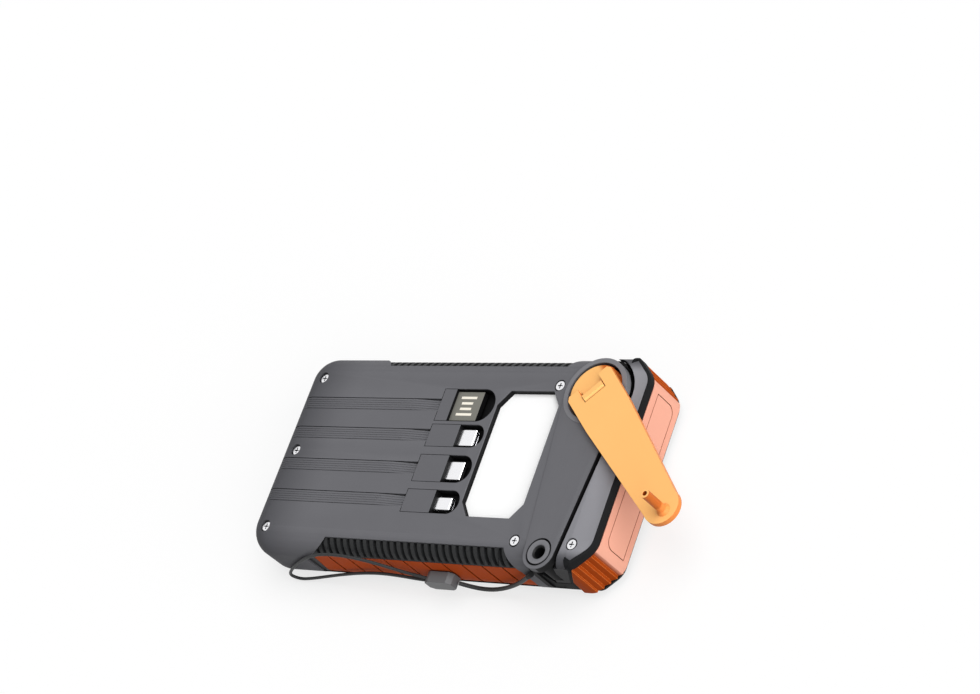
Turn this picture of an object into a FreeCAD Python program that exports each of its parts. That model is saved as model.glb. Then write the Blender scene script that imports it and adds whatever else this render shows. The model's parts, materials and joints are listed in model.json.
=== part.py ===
import FreeCAD, Part
import math
import os

import Sketcher
from FreeCAD import Placement, Rotation, Vector

# Hand crank phone charger: a rugged power bank with four captive leads, a lamp and a folding crank.
#
# Frame, in millimetres: the origin is the centre of the underside that the charger lies on,
# +X points to the crank end, +Y to the side of the crank pivot and +Z out of the rear cover.

doc = FreeCAD.newDocument("HandCrankCharger")


# ---------------------------------------------------------------- driving dimensions

SHEET_ROWS = [
    # alias, value, what it is
    ("case_left", -82.4, "left end of the case"),
    ("case_right", 82.5, "crank end of the case"),
    ("half_width", 41.9, "centre line to the corner bumpers' sides"),
    ("face", 26.6, "main face of the rear cover"),
    ("pad_top", 27.0, "raised pad between the crank pivot and the boss"),
    ("corner", 11.0, "plan radius of the left corners"),
    ("shoulder", 9.0, "rounding of the rear cover's long edges"),
    ("end_cut", 8.2, "plan chamfer of the crank end's corners"),
    ("parting", 6.4, "joint between front shell and rear cover"),
    ("belly_round", 9.0, "rounding of the front shell's long edges"),
    ("end_belly", 6.0, "rounding under the crank end"),
    ("end_corner", 8.0, "softening of the crank end's plan chamfers"),
    ("recess_wall", 38.9, "side recess floor, from the centre line"),
    ("recess_edge", 36.2, "upper edge of the grip ribs, from the centre line"),
    ("strip_top", 19.2, "top of the side strip, foot of the grip ribs"),
    ("strip_low", 4.4, "bottom of the side recess, on the front shell"),
    ("rib_pitch", 3.3, "grip rib spacing"),
    ("groove_pitch", 9.35, "side strip groove spacing"),
    ("pivot_along", 62.0, "crank pivot, X, shared with the boss"),
    ("pivot_across", 25.9, "crank pivot, Y"),
    ("boss_across", -37.5, "knob boss, Y"),
    ("ring_outer", 13.2, "pivot ring, outer radius"),
    ("ring_inner", 11.4, "pivot ring, inner radius"),
    ("hub_radius", 10.4, "crank hub"),
    ("hub_top", 26.9, "crank hub's upper face"),
    ("hub_floor", 20.8, "crank hub's lower face"),
    ("cup_floor", 20.5, "floor of the hub's cup"),
    ("cup_under", 18.6, "underside of the hub's cup"),
    ("barrel_radius", 6.5, "knob boss rim"),
    ("barrel_neck", 4.1, "knob boss below its rim"),
    ("socket_radius", 4.6, "boss socket sleeve"),
    ("knob_hole", 2.1, "boss hole radius"),
    ("knob_hole_floor", 14.5, "bottom of the boss hole"),
    ("shaft_radius", 2.5, "crank shaft"),
    ("running_gap", 0.05, "radial clearance of turning fits"),
    ("hinge_offset", 2.0, "fold axis, from the pivot along the arm"),
    ("hinge_height", 28.45, "fold axis above the underside"),
    ("arm_half", 1.05, "half the arm's thickness"),
    ("arm_root", 9.8, "half width of the arm at the hub"),
    ("arm_middle", 9.6, "half width of the arm where it starts to narrow"),
    ("arm_tip", 6.8, "half width of the arm at the knob"),
    ("knob_along", 67.4, "knob, from the pivot along the arm"),
    ("knob_radius", 1.65, "knob"),
    ("knob_length", 12.0, "knob above the arm"),
    ("gear_module", 0.5, "module of the gear train"),
    ("panel_left", 19.1, "lamp opening, left edge"),
    ("panel_right", 47.8, "lamp opening, right edge"),
    ("panel_low", -25.3, "lamp opening, -Y edge"),
    ("panel_high", 25.7, "lamp opening, +Y edge"),
    ("panel_depth", 2.3, "lamp diffuser below the face"),
    ("well_right", 18.1, "right end of the plug wells"),
    ("well_floor", 22.0, "floor of the plug wells"),
    ("lead_width", 4.6, "flat lead, width"),
    ("lead_thick", 1.6, "flat lead, thickness"),
    ("lead_hinge", -66.0, "where the leads start to lift"),
    ("lead_bend", -21.0, "where the leads dip towards the plugs"),
    ("head_left", -8.1, "left end of the plug heads"),
    ("tip_top", 25.3, "upper face of the plug tips"),
    ("end_block_top", 25.5, "end block's upper face at the seam"),
    ("end_block_edge", 23.8, "end block's upper face at the end"),
    ("cover_top", 21.2, "port cover's upper edge"),
    ("cover_low", 4.0, "port cover's lower edge"),
    ("flap_half", 30.0, "port flap, half width"),
    ("flap_low", 6.8, "port flap's lower edge"),
    ("flap_high", 18.0, "port flap's upper edge"),
    ("screw_head", 1.85, "screw head radius"),
    ("screw_shank", 1.1, "screw shank radius"),
    ("cord_radius", 0.6, "wrist cord loop, radius"),
    ("tail_radius", 0.8, "wrist cord tail, radius"),
]

sheet = doc.addObject("Spreadsheet::Sheet", "Sizes")
for row, (alias, value, note) in enumerate(SHEET_ROWS, start=1):
    sheet.set(f"A{row}", alias)
    sheet.set(f"B{row}", str(value))
    sheet.set(f"C{row}", note)
    sheet.setAlias(f"B{row}", alias)
doc.recompute()


class Size(float):
    """A length that also remembers the sheet expression it comes from."""

    def __new__(cls, value, text=None):
        made = super().__new__(cls, value)
        made.text = text or f"({float(value):.6g})"
        return made

    def joined(self, sign, other, value, swap=False):
        right = other if isinstance(other, Size) else Size(other)
        first, second = (right, self) if swap else (self, right)
        return Size(value, f"({first.text} {sign} {second.text})")

    def __add__(self, other):
        return self.joined("+", other, float(self) + float(other))

    def __radd__(self, other):
        return self.joined("+", other, float(other) + float(self), swap=True)

    def __sub__(self, other):
        return self.joined("-", other, float(self) - float(other))

    def __rsub__(self, other):
        return self.joined("-", other, float(other) - float(self), swap=True)

    def __mul__(self, other):
        return self.joined("*", other, float(self) * float(other))

    def __rmul__(self, other):
        return self.joined("*", other, float(other) * float(self), swap=True)

    def __truediv__(self, other):
        return self.joined("/", other, float(self) / float(other))

    def __neg__(self):
        return Size(-float(self), f"(-1 * {self.text})")


class SheetSizes:
    """Every alias of the sheet as a Size attribute."""


size = SheetSizes()
for alias, value, note in SHEET_ROWS:
    setattr(size, alias, Size(sheet.get(alias), f"Sizes.{alias}"))


# ---------------------------------------------------------------- modelling helpers

def bind(obj, prop, value):
    """Set a number, or tie the property to the sheet when the value comes from it."""
    if isinstance(value, Size):
        obj.setExpression(prop, value.text)
    else:
        obj.setExpression(prop, f"{float(value):.9g}")


def place(obj, at, rotation=Rotation()):
    """Put an object at a point whose coordinates may be tied to the sheet."""
    obj.Placement = Placement(Vector(*[float(c) for c in at]), rotation)
    for axis, value in zip("xyz", at):
        bind(obj, f"Placement.Base.{axis}", value)
    return obj


def block(name, x, y, z):
    """A box between low and high values along each axis."""
    obj = doc.addObject("Part::Box", name)
    for prop, (low, high) in zip(("Length", "Width", "Height"), (x, y, z)):
        bind(obj, prop, high - low)
    return place(obj, (x[0], y[0], z[0]))


def rod(name, radius, at, length, rotation=Rotation()):
    """A cylinder that starts at a point and runs along its own, turned, Z axis."""
    obj = doc.addObject("Part::Cylinder", name)
    bind(obj, "Radius", radius)
    bind(obj, "Height", length)
    return place(obj, at, rotation)


def cone(name, low_radius, high_radius, at, length):
    """An upright cone frustum."""
    obj = doc.addObject("Part::Cone", name)
    bind(obj, "Radius1", low_radius)
    bind(obj, "Radius2", high_radius)
    bind(obj, "Height", length)
    return place(obj, at)


def fuse(name, pieces):
    obj = doc.addObject("Part::MultiFuse", name)
    obj.Shapes = list(pieces)
    return obj


def common(name, pieces):
    obj = doc.addObject("Part::MultiCommon", name)
    obj.Shapes = list(pieces)
    return obj


def cut(name, base, tools):
    """The base less one tool or several."""
    tools = list(tools)
    obj = doc.addObject("Part::Cut", name)
    obj.Base = base
    obj.Tool = tools[0] if len(tools) == 1 else fuse(f"{name}_tools", tools)
    return obj


def group(name, pieces):
    """Separate solids that share one node."""
    obj = doc.addObject("Part::Compound", name)
    obj.Links = list(pieces)
    return obj


def edges_where(shape, wanted):
    """Numbers, from 1, of the edges whose shape passes a test."""
    return [number for number, edge in enumerate(shape.Edges, start=1) if wanted(edge)]


def middle(edge):
    return edge.valueAt((edge.FirstParameter + edge.LastParameter) / 2)


def origin_plane(body, role):
    return next(item for item in body.Origin.OriginFeatures if item.Role == role)


def outline(body, name, plane, points, offset=0.0):
    """A closed sketch of straight lines whose corners are tied to the sheet."""
    sketch = body.newObject("Sketcher::SketchObject", name)
    sketch.AttachmentSupport = [(origin_plane(body, plane), "")]
    sketch.MapMode = "FlatFace"
    bind(sketch, "AttachmentOffset.Base.z", offset)
    corners = [Vector(float(x), float(y), 0) for x, y in points]
    for start, end in zip(corners, corners[1:] + corners[:1]):
        sketch.addGeometry(Part.LineSegment(start, end), False)
    count = len(points)
    for index in range(count):
        sketch.addConstraint(Sketcher.Constraint("Coincident", index, 2, (index + 1) % count, 1))
    for index, point in enumerate(points):
        for kind, value in zip(("DistanceX", "DistanceY"), point):
            number = sketch.addConstraint(
                Sketcher.Constraint(kind, -1, 1, index, 1, float(value)))
            if isinstance(value, Size):
                sketch.setExpression(f"Constraints[{number}]", value.text)
    return sketch


def padded(name, points, low, high, plane="XY_Plane"):
    """A PartDesign body: one outline, extruded between two levels of its plane's axis."""
    body = doc.addObject("PartDesign::Body", name)
    sketch = outline(body, f"{name}_outline", plane, points, offset=low)
    pad = body.newObject("PartDesign::Pad", f"{name}_pad")
    pad.Profile = sketch
    bind(pad, "Length", high - low)
    body.Tip = pad
    return body


def rounded(body, name, radius, wanted, kind="PartDesign::Fillet"):
    """Round or bevel the edges of the body's last feature that pass a test."""
    doc.recompute()
    base = body.Tip
    feature = body.newObject(kind, name)
    feature.Base = (base, [f"Edge{number}" for number in edges_where(base.Shape, wanted)])
    bind(feature, "Radius" if kind.endswith("Fillet") else "Size", radius)
    body.Tip = feature
    return body


def mirrored_side(name, piece):
    """The same piece on the other long side of the case."""
    obj = doc.addObject("Part::Mirroring", name)
    obj.Source = piece
    obj.Normal = Vector(0, 1, 0)
    return obj


def fixed_shape(name, shape, placement=Placement()):
    """A piece whose form only the modelling kernel's own functions make."""
    obj = doc.addObject("Part::Feature", name)
    obj.Shape = shape
    obj.Placement = placement
    return obj


finished = {}


def keep(label, obj):
    """Name a finished sub-part after the node that it becomes."""
    obj.Label = label
    finished[label] = obj
    return obj


# ---------------------------------------------------------------- case forms

def end_plan(inset, left, side_inset=None):
    """The case's plan outline from a line across it to the crank end, drawn in by an inset."""
    right = size.case_right - inset
    half = size.half_width - (inset if side_inset is None else side_inset)
    return [
        (left, -half),
        (right - size.end_cut, -half),
        (right, -half + size.end_cut),
        (right, half - size.end_cut),
        (right - size.end_cut, half),
        (left, half),
    ]


def case_body(name, inset, low, high, corner, shoulder, belly):
    """A solid of the case's form: rounded left corners, a soft top edge and a soft bottom edge."""
    body = padded(name, end_plan(inset, size.case_left + inset), low, high)
    left = float(size.case_left + inset)
    right = float(size.case_right - inset)
    rounded(body, f"{name}_corners", corner,
            lambda edge: edge.BoundBox.ZLength > 1 and abs(edge.BoundBox.XMin - left) < 0.01)

    def along_side_at(level):
        return lambda edge: (edge.BoundBox.ZLength < 0.01 and abs(edge.BoundBox.ZMin - level) < 0.01
                             and edge.BoundBox.XMax < right - float(size.end_cut) + 0.01)

    if shoulder:
        rounded(body, f"{name}_shoulder", shoulder, along_side_at(float(high)))
    if belly:
        rounded(body, f"{name}_belly", belly, along_side_at(float(low)))
    return body


def end_form(name, inset, low, high, left, belly=None, side_inset=None):
    """A solid of the crank end's form: softened plan chamfers and, if given, a soft bottom edge."""
    body = padded(name, end_plan(inset, left, side_inset), low, high)
    rounded(body, f"{name}_corners", size.end_corner - inset, lambda edge: (
        edge.BoundBox.ZLength > 1 and edge.BoundBox.XMin > float(left) + 1))
    if belly:
        rounded(body, f"{name}_belly", belly, lambda edge: (
            abs(edge.BoundBox.ZMax - float(low)) < 0.01 and edge.BoundBox.XMax > float(left) + 1))
    return body


case_form = common("case_form", [
    case_body("case_block", 0.0, Size(0.0), size.face, size.corner, size.shoulder,
              size.belly_round),
    end_form("case_end", Size(0.0), Size(0.0), size.face, Size(-120.0), size.end_belly),
])
core_form = case_body("core_form", Size(4.0), Size(2.0), Size(23.6), Size(8.0), Size(6.0),
                      Size(3.0))

# The side recesses hold the strips and the grip ribs: a floor that follows the case's rounding
# behind the ribs and an upright one behind the strips, with ends that lean outwards.
recess_section = padded("recess_section", [
    (size.recess_edge, Size(28.0)),
    (size.recess_edge, Size(25.2)),
    (size.recess_edge - 0.7, Size(23.7)),
    (size.recess_edge + 1.0, Size(22.5)),
    (size.recess_wall - 0.3, size.strip_top + 0.7),
    (size.recess_wall, size.strip_top),
    (size.recess_wall, size.strip_low),
    (Size(46.0), size.strip_low),
    (Size(46.0), Size(28.0)),
], Size(-60.0), Size(60.0), plane="YZ_Plane")
recess_ends = padded("recess_ends", [
    (Size(-37.2), Size(28.0)),
    (Size(-49.6), Size(20.4)),
    (Size(-55.0), Size(16.4)),
    (Size(-55.0), size.strip_low),
    (Size(50.5), size.strip_low),
    (Size(50.5), size.strip_top - 1.0),
    (Size(43.6), Size(28.0)),
], Size(-60.0), Size(60.0), plane="XZ_Plane")
recess_far = common("recess_far", [recess_section, recess_ends])
recess_near = mirrored_side("recess_near", recess_far)

# The raised pad is the hull of the pivot ring and the boss barrel; the end block is cut to it.
pivot = Vector(float(size.pivot_along), float(size.pivot_across), 0)
boss = Vector(float(size.pivot_along), float(size.boss_across), 0)


def hull_face(pivot_radius, boss_radius, level):
    """A flat face around two circles and their common tangents."""
    span = pivot.y - boss.y
    lean = math.asin((pivot_radius - boss_radius) / span)
    side = Vector(math.cos(lean), -math.sin(lean), 0)
    other = Vector(-side.x, side.y, 0)
    lift = Vector(0, 0, level)
    right_top, right_low = pivot + side * pivot_radius, boss + side * boss_radius
    left_top, left_low = pivot + other * pivot_radius, boss + other * boss_radius
    crown = pivot + Vector(0, pivot_radius, 0)
    toe = boss - Vector(0, boss_radius, 0)
    edges = [
        Part.LineSegment(right_low, right_top).toShape(),
        Part.Arc(right_top, crown, left_top).toShape(),
        Part.LineSegment(left_top, left_low).toShape(),
        Part.Arc(left_low, toe, right_low).toShape(),
    ]
    face = Part.Face(Part.Wire(edges))
    face.translate(lift)
    return face


def hull_prism(name, pivot_radius, boss_radius, low, high):
    face = hull_face(float(pivot_radius), float(boss_radius), float(low))
    return fixed_shape(name, face.extrude(Vector(0, 0, float(high) - float(low))))


# ---------------------------------------------------------------- rear cover

LANES = {
    # name: (lead's Y, well's low and high Y)
    "usb_a": (19.5, 12.75, 26.25),
    "micro": (6.8, 2.1, 11.5),
    "slim": (-6.8, -12.3, -1.1),
    "usb_c": (-20.1, -24.8, -15.3),
}
LEAD_DIP = Size(1.2)
HEAD_RIGHT = {"usb_a": -2.3, "micro": 5.6, "slim": 5.6, "usb_c": 5.6}
COVER_SCREWS = [(-72.5, 30.5, 25.7), (-72.4, -0.9, 25.7), (-72.6, -33.3, 25.7),
                (45.1, 28.1, 26.4), (49.3, -33.6, 26.4)]


def well(name, low, high):
    """A plug's well: a slot from the head's pocket to a half-round right end."""
    radius = (high - low) / 2
    across = (high + low) / 2
    centre = size.well_right - radius
    depth = size.pad_top - size.well_floor
    slot = block(f"{name}_slot", (size.head_left - 0.3, centre), (low, high),
                 (size.well_floor, size.pad_top))
    end = rod(f"{name}_end", radius, (centre, across, size.well_floor), depth)
    return fuse(name, [slot, end])


def strap_section(name, across, width, thick, left, right, crown):
    """A flat lead or its channel between the lift line and the head: level, then dipping.

    The crown lists the corners of its upper side, from the head back to the left end.
    """
    low = size.face - thick
    return padded(name, [
        (left, low),
        (size.lead_bend, low),
        (right, low - LEAD_DIP),
    ] + crown, Size(-width / 2 - across), Size(width / 2 - across), plane="XZ_Plane")


def shoulder_strap(name, across, width, low, high, extra=0.0):
    """The fixed end of a lead, or its channel: flat, then down the left end's rounding."""
    centre = Vector(float(size.case_left + size.shoulder), 0, float(size.face - size.shoulder))
    outer = float(size.shoulder) - low
    inner = float(size.shoulder) - high
    slant = math.sqrt(0.5)
    right = float(size.lead_hinge) + extra

    def polar(radius, x, z):
        return centre + Vector(radius * x, 0, radius * z)

    points = {
        "right_top": Vector(right, 0, centre.z + outer),
        "bend_top": polar(outer, 0, 1),
        "left_top": polar(outer, -1, 0),
        "left_low": polar(inner, -1, 0),
        "bend_low": polar(inner, 0, 1),
        "right_low": Vector(right, 0, centre.z + inner),
    }
    edges = [
        Part.LineSegment(points["right_top"], points["bend_top"]).toShape(),
        Part.Arc(points["bend_top"], polar(outer, -slant, slant), points["left_top"]).toShape(),
        Part.LineSegment(points["left_top"], points["left_low"]).toShape(),
        Part.Arc(points["left_low"], polar(inner, -slant, slant), points["bend_low"]).toShape(),
        Part.LineSegment(points["bend_low"], points["right_low"]).toShape(),
        Part.LineSegment(points["right_low"], points["right_top"]).toShape(),
    ]
    face = Part.Face(Part.Wire(edges))
    face.translate(Vector(0, across - width / 2, 0))
    return fixed_shape(name, face.extrude(Vector(0, width, 0)))


def opening_prism(name, inset, low, high):
    """The lamp opening: a rectangle with bevelled corners."""
    left, right = size.panel_left + inset, size.panel_right - inset
    near, far = size.panel_low + inset, size.panel_high - inset
    step_x, step_y = Size(4.3), Size(5.8)
    return padded(name, [
        (left + step_x, near), (right - step_x, near), (right, near + step_y),
        (right, far - step_y), (right - step_x, far), (left + step_x, far),
        (left, far - step_y), (left, near + step_y),
    ], low, high)


cover_zone = fuse("cover_zone", [
    block("cover_zone_main", (Size(-90.0), size.pivot_along), (Size(-50.0), Size(50.0)),
          (size.parting, Size(30.0))),
    block("cover_zone_far", (size.pivot_along, Size(64.0)), (Size(30.0), Size(50.0)),
          (size.parting, Size(30.0))),
    hull_prism("cover_zone_pad", size.ring_outer, size.barrel_radius, size.parting, 30.0),
])
cover_block = common("cover_block", [case_form, cover_zone])

def boss_barrel(name, extra=0.0):
    """The boss's outside: a rim at the top of a narrower neck that holds the socket."""
    at = (size.pivot_along, size.boss_across)
    rim_low, neck_low = size.pad_top - 3.0 - extra, size.knob_hole_floor - 1.5 - extra
    rim = rod(f"{name}_rim", size.barrel_radius + extra, (*at, rim_low),
              size.pad_top + extra - rim_low)
    neck = rod(f"{name}_neck", size.barrel_neck + extra, (*at, neck_low), rim_low - neck_low)
    return fuse(name, [rim, neck])


barrel = boss_barrel("barrel")
pad_plate = hull_prism("pad_plate", size.ring_outer, size.barrel_radius, 23.6, size.pad_top)
cup = rod("cup", size.ring_outer, (size.pivot_along, size.pivot_across, size.cup_under),
          size.pad_top - size.cup_under)
well_tub = block("well_tub", (size.lead_bend - 3.0, Size(50.0)), (Size(-28.5), Size(28.5)),
                 (Size(20.6), Size(25.0)))
cover_posts = [
    rod(f"cover_post_{number}", Size(3.4), (x, y, Size(12.0)), Size(12.6))
    for number, (x, y, z) in enumerate(COVER_SCREWS, start=1)
]
CORNER_BACK = Size(-37.9)
corner_back = block("corner_back", (Size(55.4), Size(76.0)), (CORNER_BACK - 1.0, CORNER_BACK + 1.6),
                    (Size(0.0), Size(24.0)))
cover_cavity = cut("cover_cavity", core_form,
                   [well_tub, cup, barrel, corner_back] + cover_posts)
# Below the boss the corner is open, down to a wall behind it.
cover_walls = cut("cover_walls", cover_block, [
    cover_cavity,
    block("near_corner", (Size(57.0), Size(76.0)), (Size(-50.0), CORNER_BACK),
          (Size(6.0), Size(19.5))),
    block("near_corner_roof", (Size(59.5), Size(76.0)), (Size(-50.0), CORNER_BACK),
          (Size(19.0), Size(23.6))),
])
cover_solid = fuse("cover_solid", [cover_walls, pad_plate, cup, barrel])

cover_tools = [recess_near, recess_far]
for lane, (across, well_low, well_high) in LANES.items():
    cover_tools.append(well(f"well_{lane}", well_low, well_high))
    cover_tools.append(strap_section(
        f"channel_{lane}", across, 5.0, Size(1.8), size.lead_hinge - 0.1, size.head_left,
        [(size.head_left, Size(28.0)), (size.lead_hinge - 0.1, Size(28.0))]))
    cover_tools.append(shoulder_strap(f"root_channel_{lane}", across, 5.0, -0.5, 1.9))
cover_tools.append(opening_prism("lamp_opening", 0.0, Size(22.3), Size(30.0)))
cover_tools.append(opening_prism("lamp_well", 1.2, Size(20.0), Size(23.0)))
cover_tools.append(rod("cup_bore", size.ring_inner,
                       (size.pivot_along, size.pivot_across, size.cup_floor), Size(10.0)))
cover_tools.append(rod("ring_seat", size.ring_outer,
                       (size.pivot_along, size.pivot_across, Size(24.0)), Size(6.0)))
cover_tools.append(rod("bush_seat", Size(3.6),
                       (size.pivot_along, size.pivot_across, Size(15.0)), Size(10.0)))
SOCKET_STEP, SOCKET_TUBE = Size(25.0), Size(3.0)
cover_tools.append(rod("socket_seat", size.socket_radius,
                       (size.pivot_along, size.boss_across, SOCKET_STEP), Size(10.0)))
cover_tools.append(rod("socket_bore", SOCKET_TUBE,
                       (size.pivot_along, size.boss_across, Size(13.0)), Size(20.0)))
cover_tools.append(rod("socket_groove", size.socket_radius + 0.7,
                       (size.pivot_along, size.boss_across, Size(24.8)), Size(4.0)))
for number, (x, y, z) in enumerate(COVER_SCREWS, start=1):
    cover_tools.append(rod(f"cover_sink_{number}", Size(2.3), (x, y, z - 1.6), Size(6.0)))
    cover_tools.append(rod(f"cover_hole_{number}", size.screw_shank, (x, y, Size(6.0)),
                           Size(20.0)))
BUTTON_X = (Size(53.0), Size(61.0))
BUTTON_Z = (Size(10.5), Size(14.5))
cover_tools.append(block("button_slot", BUTTON_X, (Size(37.0), Size(44.0)), BUTTON_Z))
cover_tools.append(block("button_pocket", (BUTTON_X[0] - 0.8, BUTTON_X[1] + 0.8),
                         (Size(37.0), Size(40.2)), (BUTTON_Z[0] - 0.8, BUTTON_Z[1] + 0.8)))
cover_tools.append(block("lens_slot", (Size(53.5), Size(60.5)), (Size(40.5), Size(44.0)),
                         (Size(16.4), Size(17.4))))
keep("rear_cover", cut("rear_cover", cover_solid, cover_tools))


# ---------------------------------------------------------------- front shell

LEG_LOW = Size(10.2)


def both_sides(name, points, inner, outer):
    """A plate of one side-view outline on each long side of the case."""
    far = padded(f"{name}_far", points, -1.0 * outer, -1.0 * inner, plane="XZ_Plane")
    near = padded(f"{name}_near", points, inner, outer, plane="XZ_Plane")
    return far, near


shell_zone = fuse("shell_zone", [
    block("shell_zone_main", (Size(-90.0), Size(61.5)), (Size(-50.0), Size(50.0)),
          (Size(-1.0), size.parting)),
    block("shell_zone_far", (Size(61.5), Size(64.0)), (Size(30.0), Size(50.0)),
          (Size(-1.0), size.parting)),
    block("shell_zone_end", (Size(61.5), Size(90.0)), (Size(-50.0), Size(50.0)),
          (Size(-1.0), size.cover_low)),
])
shell_walls = cut("shell_walls", common("shell_block", [case_form, shell_zone]), [core_form])
# The shell's side wall stands up under the legs of the end block, and under the boss as a fin.
leg_foot_outline = [(Size(57.2), Size(2.5)), (Size(66.6), Size(2.5)), (Size(67.0), LEG_LOW),
                    (Size(59.7), LEG_LOW), (Size(58.2), Size(16.5)), (Size(57.2), Size(16.5))]
foot_far, foot_near = both_sides("leg_foot", leg_foot_outline, Size(39.0), Size(41.3))
leg_feet = [
    common("foot_near_soft", [
        cut("foot_near_clear", foot_near, [boss_barrel("barrel_room", 0.3)]), case_form]),
    common("foot_far_soft", [
        foot_far, case_form, block("foot_far_end", (Size(64.3), Size(80.0)),
                                   (Size(30.0), Size(50.0)), (Size(0.0), Size(30.0)))]),
]
shell_posts = [
    rod(f"shell_post_{number}", Size(3.0), (x, y, Size(1.5)), Size(10.5))
    for number, (x, y, z) in enumerate(COVER_SCREWS, start=1)
]
PLATE_POSTS = [(33.0, 33.5), (60.0, 34.0)]
plate_posts = [
    rod(f"plate_post_{number}", Size(2.0), (x, y, Size(1.5)), Size(8.0))
    for number, (x, y) in enumerate(PLATE_POSTS, start=1)
]
shell_solid = fuse("shell_solid", [shell_walls] + leg_feet + shell_posts + plate_posts)
# Two solar cells lie in the underside, either side of a bar.
SOLAR_SPANS = {"left": (-62.0, -2.0), "right": (2.0, 62.0)}
shell_tools = [
    block(f"solar_seat_{side}", (Size(left), Size(right)), (Size(-31.0), Size(31.0)),
          (Size(-1.0), Size(1.2)))
    for side, (left, right) in SOLAR_SPANS.items()
]
shell_tools += [recess_near, recess_far]
shell_tools += [
    rod(f"shell_hole_{number}", size.screw_shank, (x, y, Size(7.5)), Size(10.0))
    for number, (x, y, z) in enumerate(COVER_SCREWS, start=1)
]
keep("front_shell", cut("front_shell", shell_solid, shell_tools))
keep("solar_panel", group("solar_panel", [
    block(f"solar_cell_{side}", (Size(left + 0.2), Size(right - 0.2)),
          (Size(-30.8), Size(30.8)), (Size(0.1), Size(1.2)))
    for side, (left, right) in SOLAR_SPANS.items()
]))


# ---------------------------------------------------------------- crank end

# On each side wall the end block, the gasket and the port cover meet along one slanted line.
GASKET_WIDTH = 1.5
BORDER = [(Size(74.0), size.cover_top), (Size(68.9), Size(12.0)), (Size(68.2), size.cover_low)]


def shifted(points, along):
    return [(x + along, z) for x, z in points]


def end_roof(name, drop):
    """Everything under the end block's sloping top, or under one drawn down by a drop."""
    return padded(name, [
        (Size(60.0), size.cover_top),
        (size.case_right, size.cover_top),
        (size.case_right, size.end_block_edge - drop),
        (Size(73.0), size.end_block_top - drop),
        (Size(60.0), size.end_block_top - drop),
    ], Size(-50.0), Size(50.0), plane="XZ_Plane")


def end_layer(name, inset, side_inset, left, high, shoulder):
    """The crank end's form above the port cover, its long edges rounded over."""
    sharp = padded(f"{name}_sharp", end_plan(inset, left, side_inset), size.cover_top - 1.0, high)
    edge_across = float(size.half_width - side_inset)
    rounded(sharp, f"{name}_shoulder", shoulder, lambda edge: (
        edge.BoundBox.ZLength < 0.01 and edge.BoundBox.ZMin > float(high) - 0.01
        and abs(abs(middle(edge).y) - edge_across) < 0.1))
    soft = end_form(f"{name}_soft", inset, size.cover_top - 1.0, high, Size(50.0),
                    side_inset=side_inset)
    return common(name, [sharp, soft])


END_INSET, END_SIDE_INSET = Size(1.3), Size(0.7)
END_SHOULDER = Size(4.0)
END_SKIN = Size(0.5)
end_core = end_layer("end_core", END_INSET, END_SIDE_INSET, Size(64.3), size.end_block_top,
                     END_SHOULDER)
end_cap_roof = end_roof("end_cap_roof", 0.0)
pad_room = hull_prism("pad_room", size.ring_outer + 0.8, size.barrel_radius + 0.8, 0.0, 30.0)
leg_outline = shifted(BORDER[:2], -GASKET_WIDTH) + [
    (BORDER[1][0] - GASKET_WIDTH - 0.2, LEG_LOW),
    (Size(60.0), LEG_LOW),
    (Size(60.6), Size(12.0)),
    (Size(65.0), Size(18.0)),
    (Size(66.4), size.cover_top + 0.5),
    (Size(72.5), size.cover_top + 0.5),
]
leg_far, leg_near = both_sides("leg", leg_outline, Size(39.5), size.half_width - END_SIDE_INSET)
leg_far_end = block("leg_far_end", (Size(64.3), Size(80.0)), (Size(30.0), Size(50.0)),
                    (size.cover_low, Size(30.0)))
end_solid = fuse("end_solid", [
    cut("end_cap", common("end_cap_block", [end_cap_roof, end_core]), [pad_room]),
    cut("leg_near_clear", leg_near, [boss_barrel("leg_barrel_room", 0.5)]),
    common("leg_far_clear", [leg_far, leg_far_end]),
])
END_SCREWS = [(73.5, -33.1, 25.0), (76.5, 12.5, 24.5)]
end_tools = [rod("end_cup_room", size.ring_outer + 2.0,
                 (size.pivot_along, size.pivot_across, Size(15.0)), Size(15.0))]
for number, (x, y, z) in enumerate(END_SCREWS, start=1):
    end_tools.append(rod(f"end_sink_{number}", Size(2.3), (x, y, z - 1.5), Size(6.0)))
    end_tools.append(rod(f"end_hole_{number}", size.screw_shank, (x, y, Size(18.0)),
                         Size(10.0)))
keep("end_block", cut("end_block", end_solid, end_tools))

# The gasket rims the end block and follows the slanted line down each side.
band = cut("band", common("band_block", [
    end_roof("band_roof", 0.1),
    end_layer("band_outer", Size(0.2), Size(0.2), BORDER[0][0] - GASKET_WIDTH + 0.1,
              size.end_block_top + END_SKIN, END_SHOULDER + END_SKIN),
]), [end_core])
gasket_outline = BORDER + list(reversed(shifted(BORDER, -GASKET_WIDTH)))
gasket_far, gasket_near = both_sides("gasket_side", gasket_outline, Size(39.5),
                                     size.half_width - 0.3)
gasket_sides = common("gasket_sides", [
    fuse("gasket_strips", [gasket_far, gasket_near]), case_form])
keep("end_gasket", fuse("end_gasket", [band, gasket_sides]))

# The port cover is a wall around the crank end whose corners are ridged like saw teeth.
TEETH = 4


def toothed_corner(sign):
    """Corner points from the side wall to the end face, ridge and valley in turn."""
    start = Vector(float(size.case_right) - 8.7, -(float(size.half_width) - 0.3), 0)
    end = Vector(float(size.case_right) - 0.2, -(float(size.half_width) - 8.5), 0)
    step = (end - start) * (1.0 / TEETH)
    inward = Vector(-1, 1, 0) * math.sqrt(0.5)
    points = []
    for tooth in range(TEETH):
        ridge = start + step * tooth
        points += [ridge, ridge + step * 0.25 + inward * 0.9]
    points.append(end)
    return [(point.x, point.y * -sign) for point in points]


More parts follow.
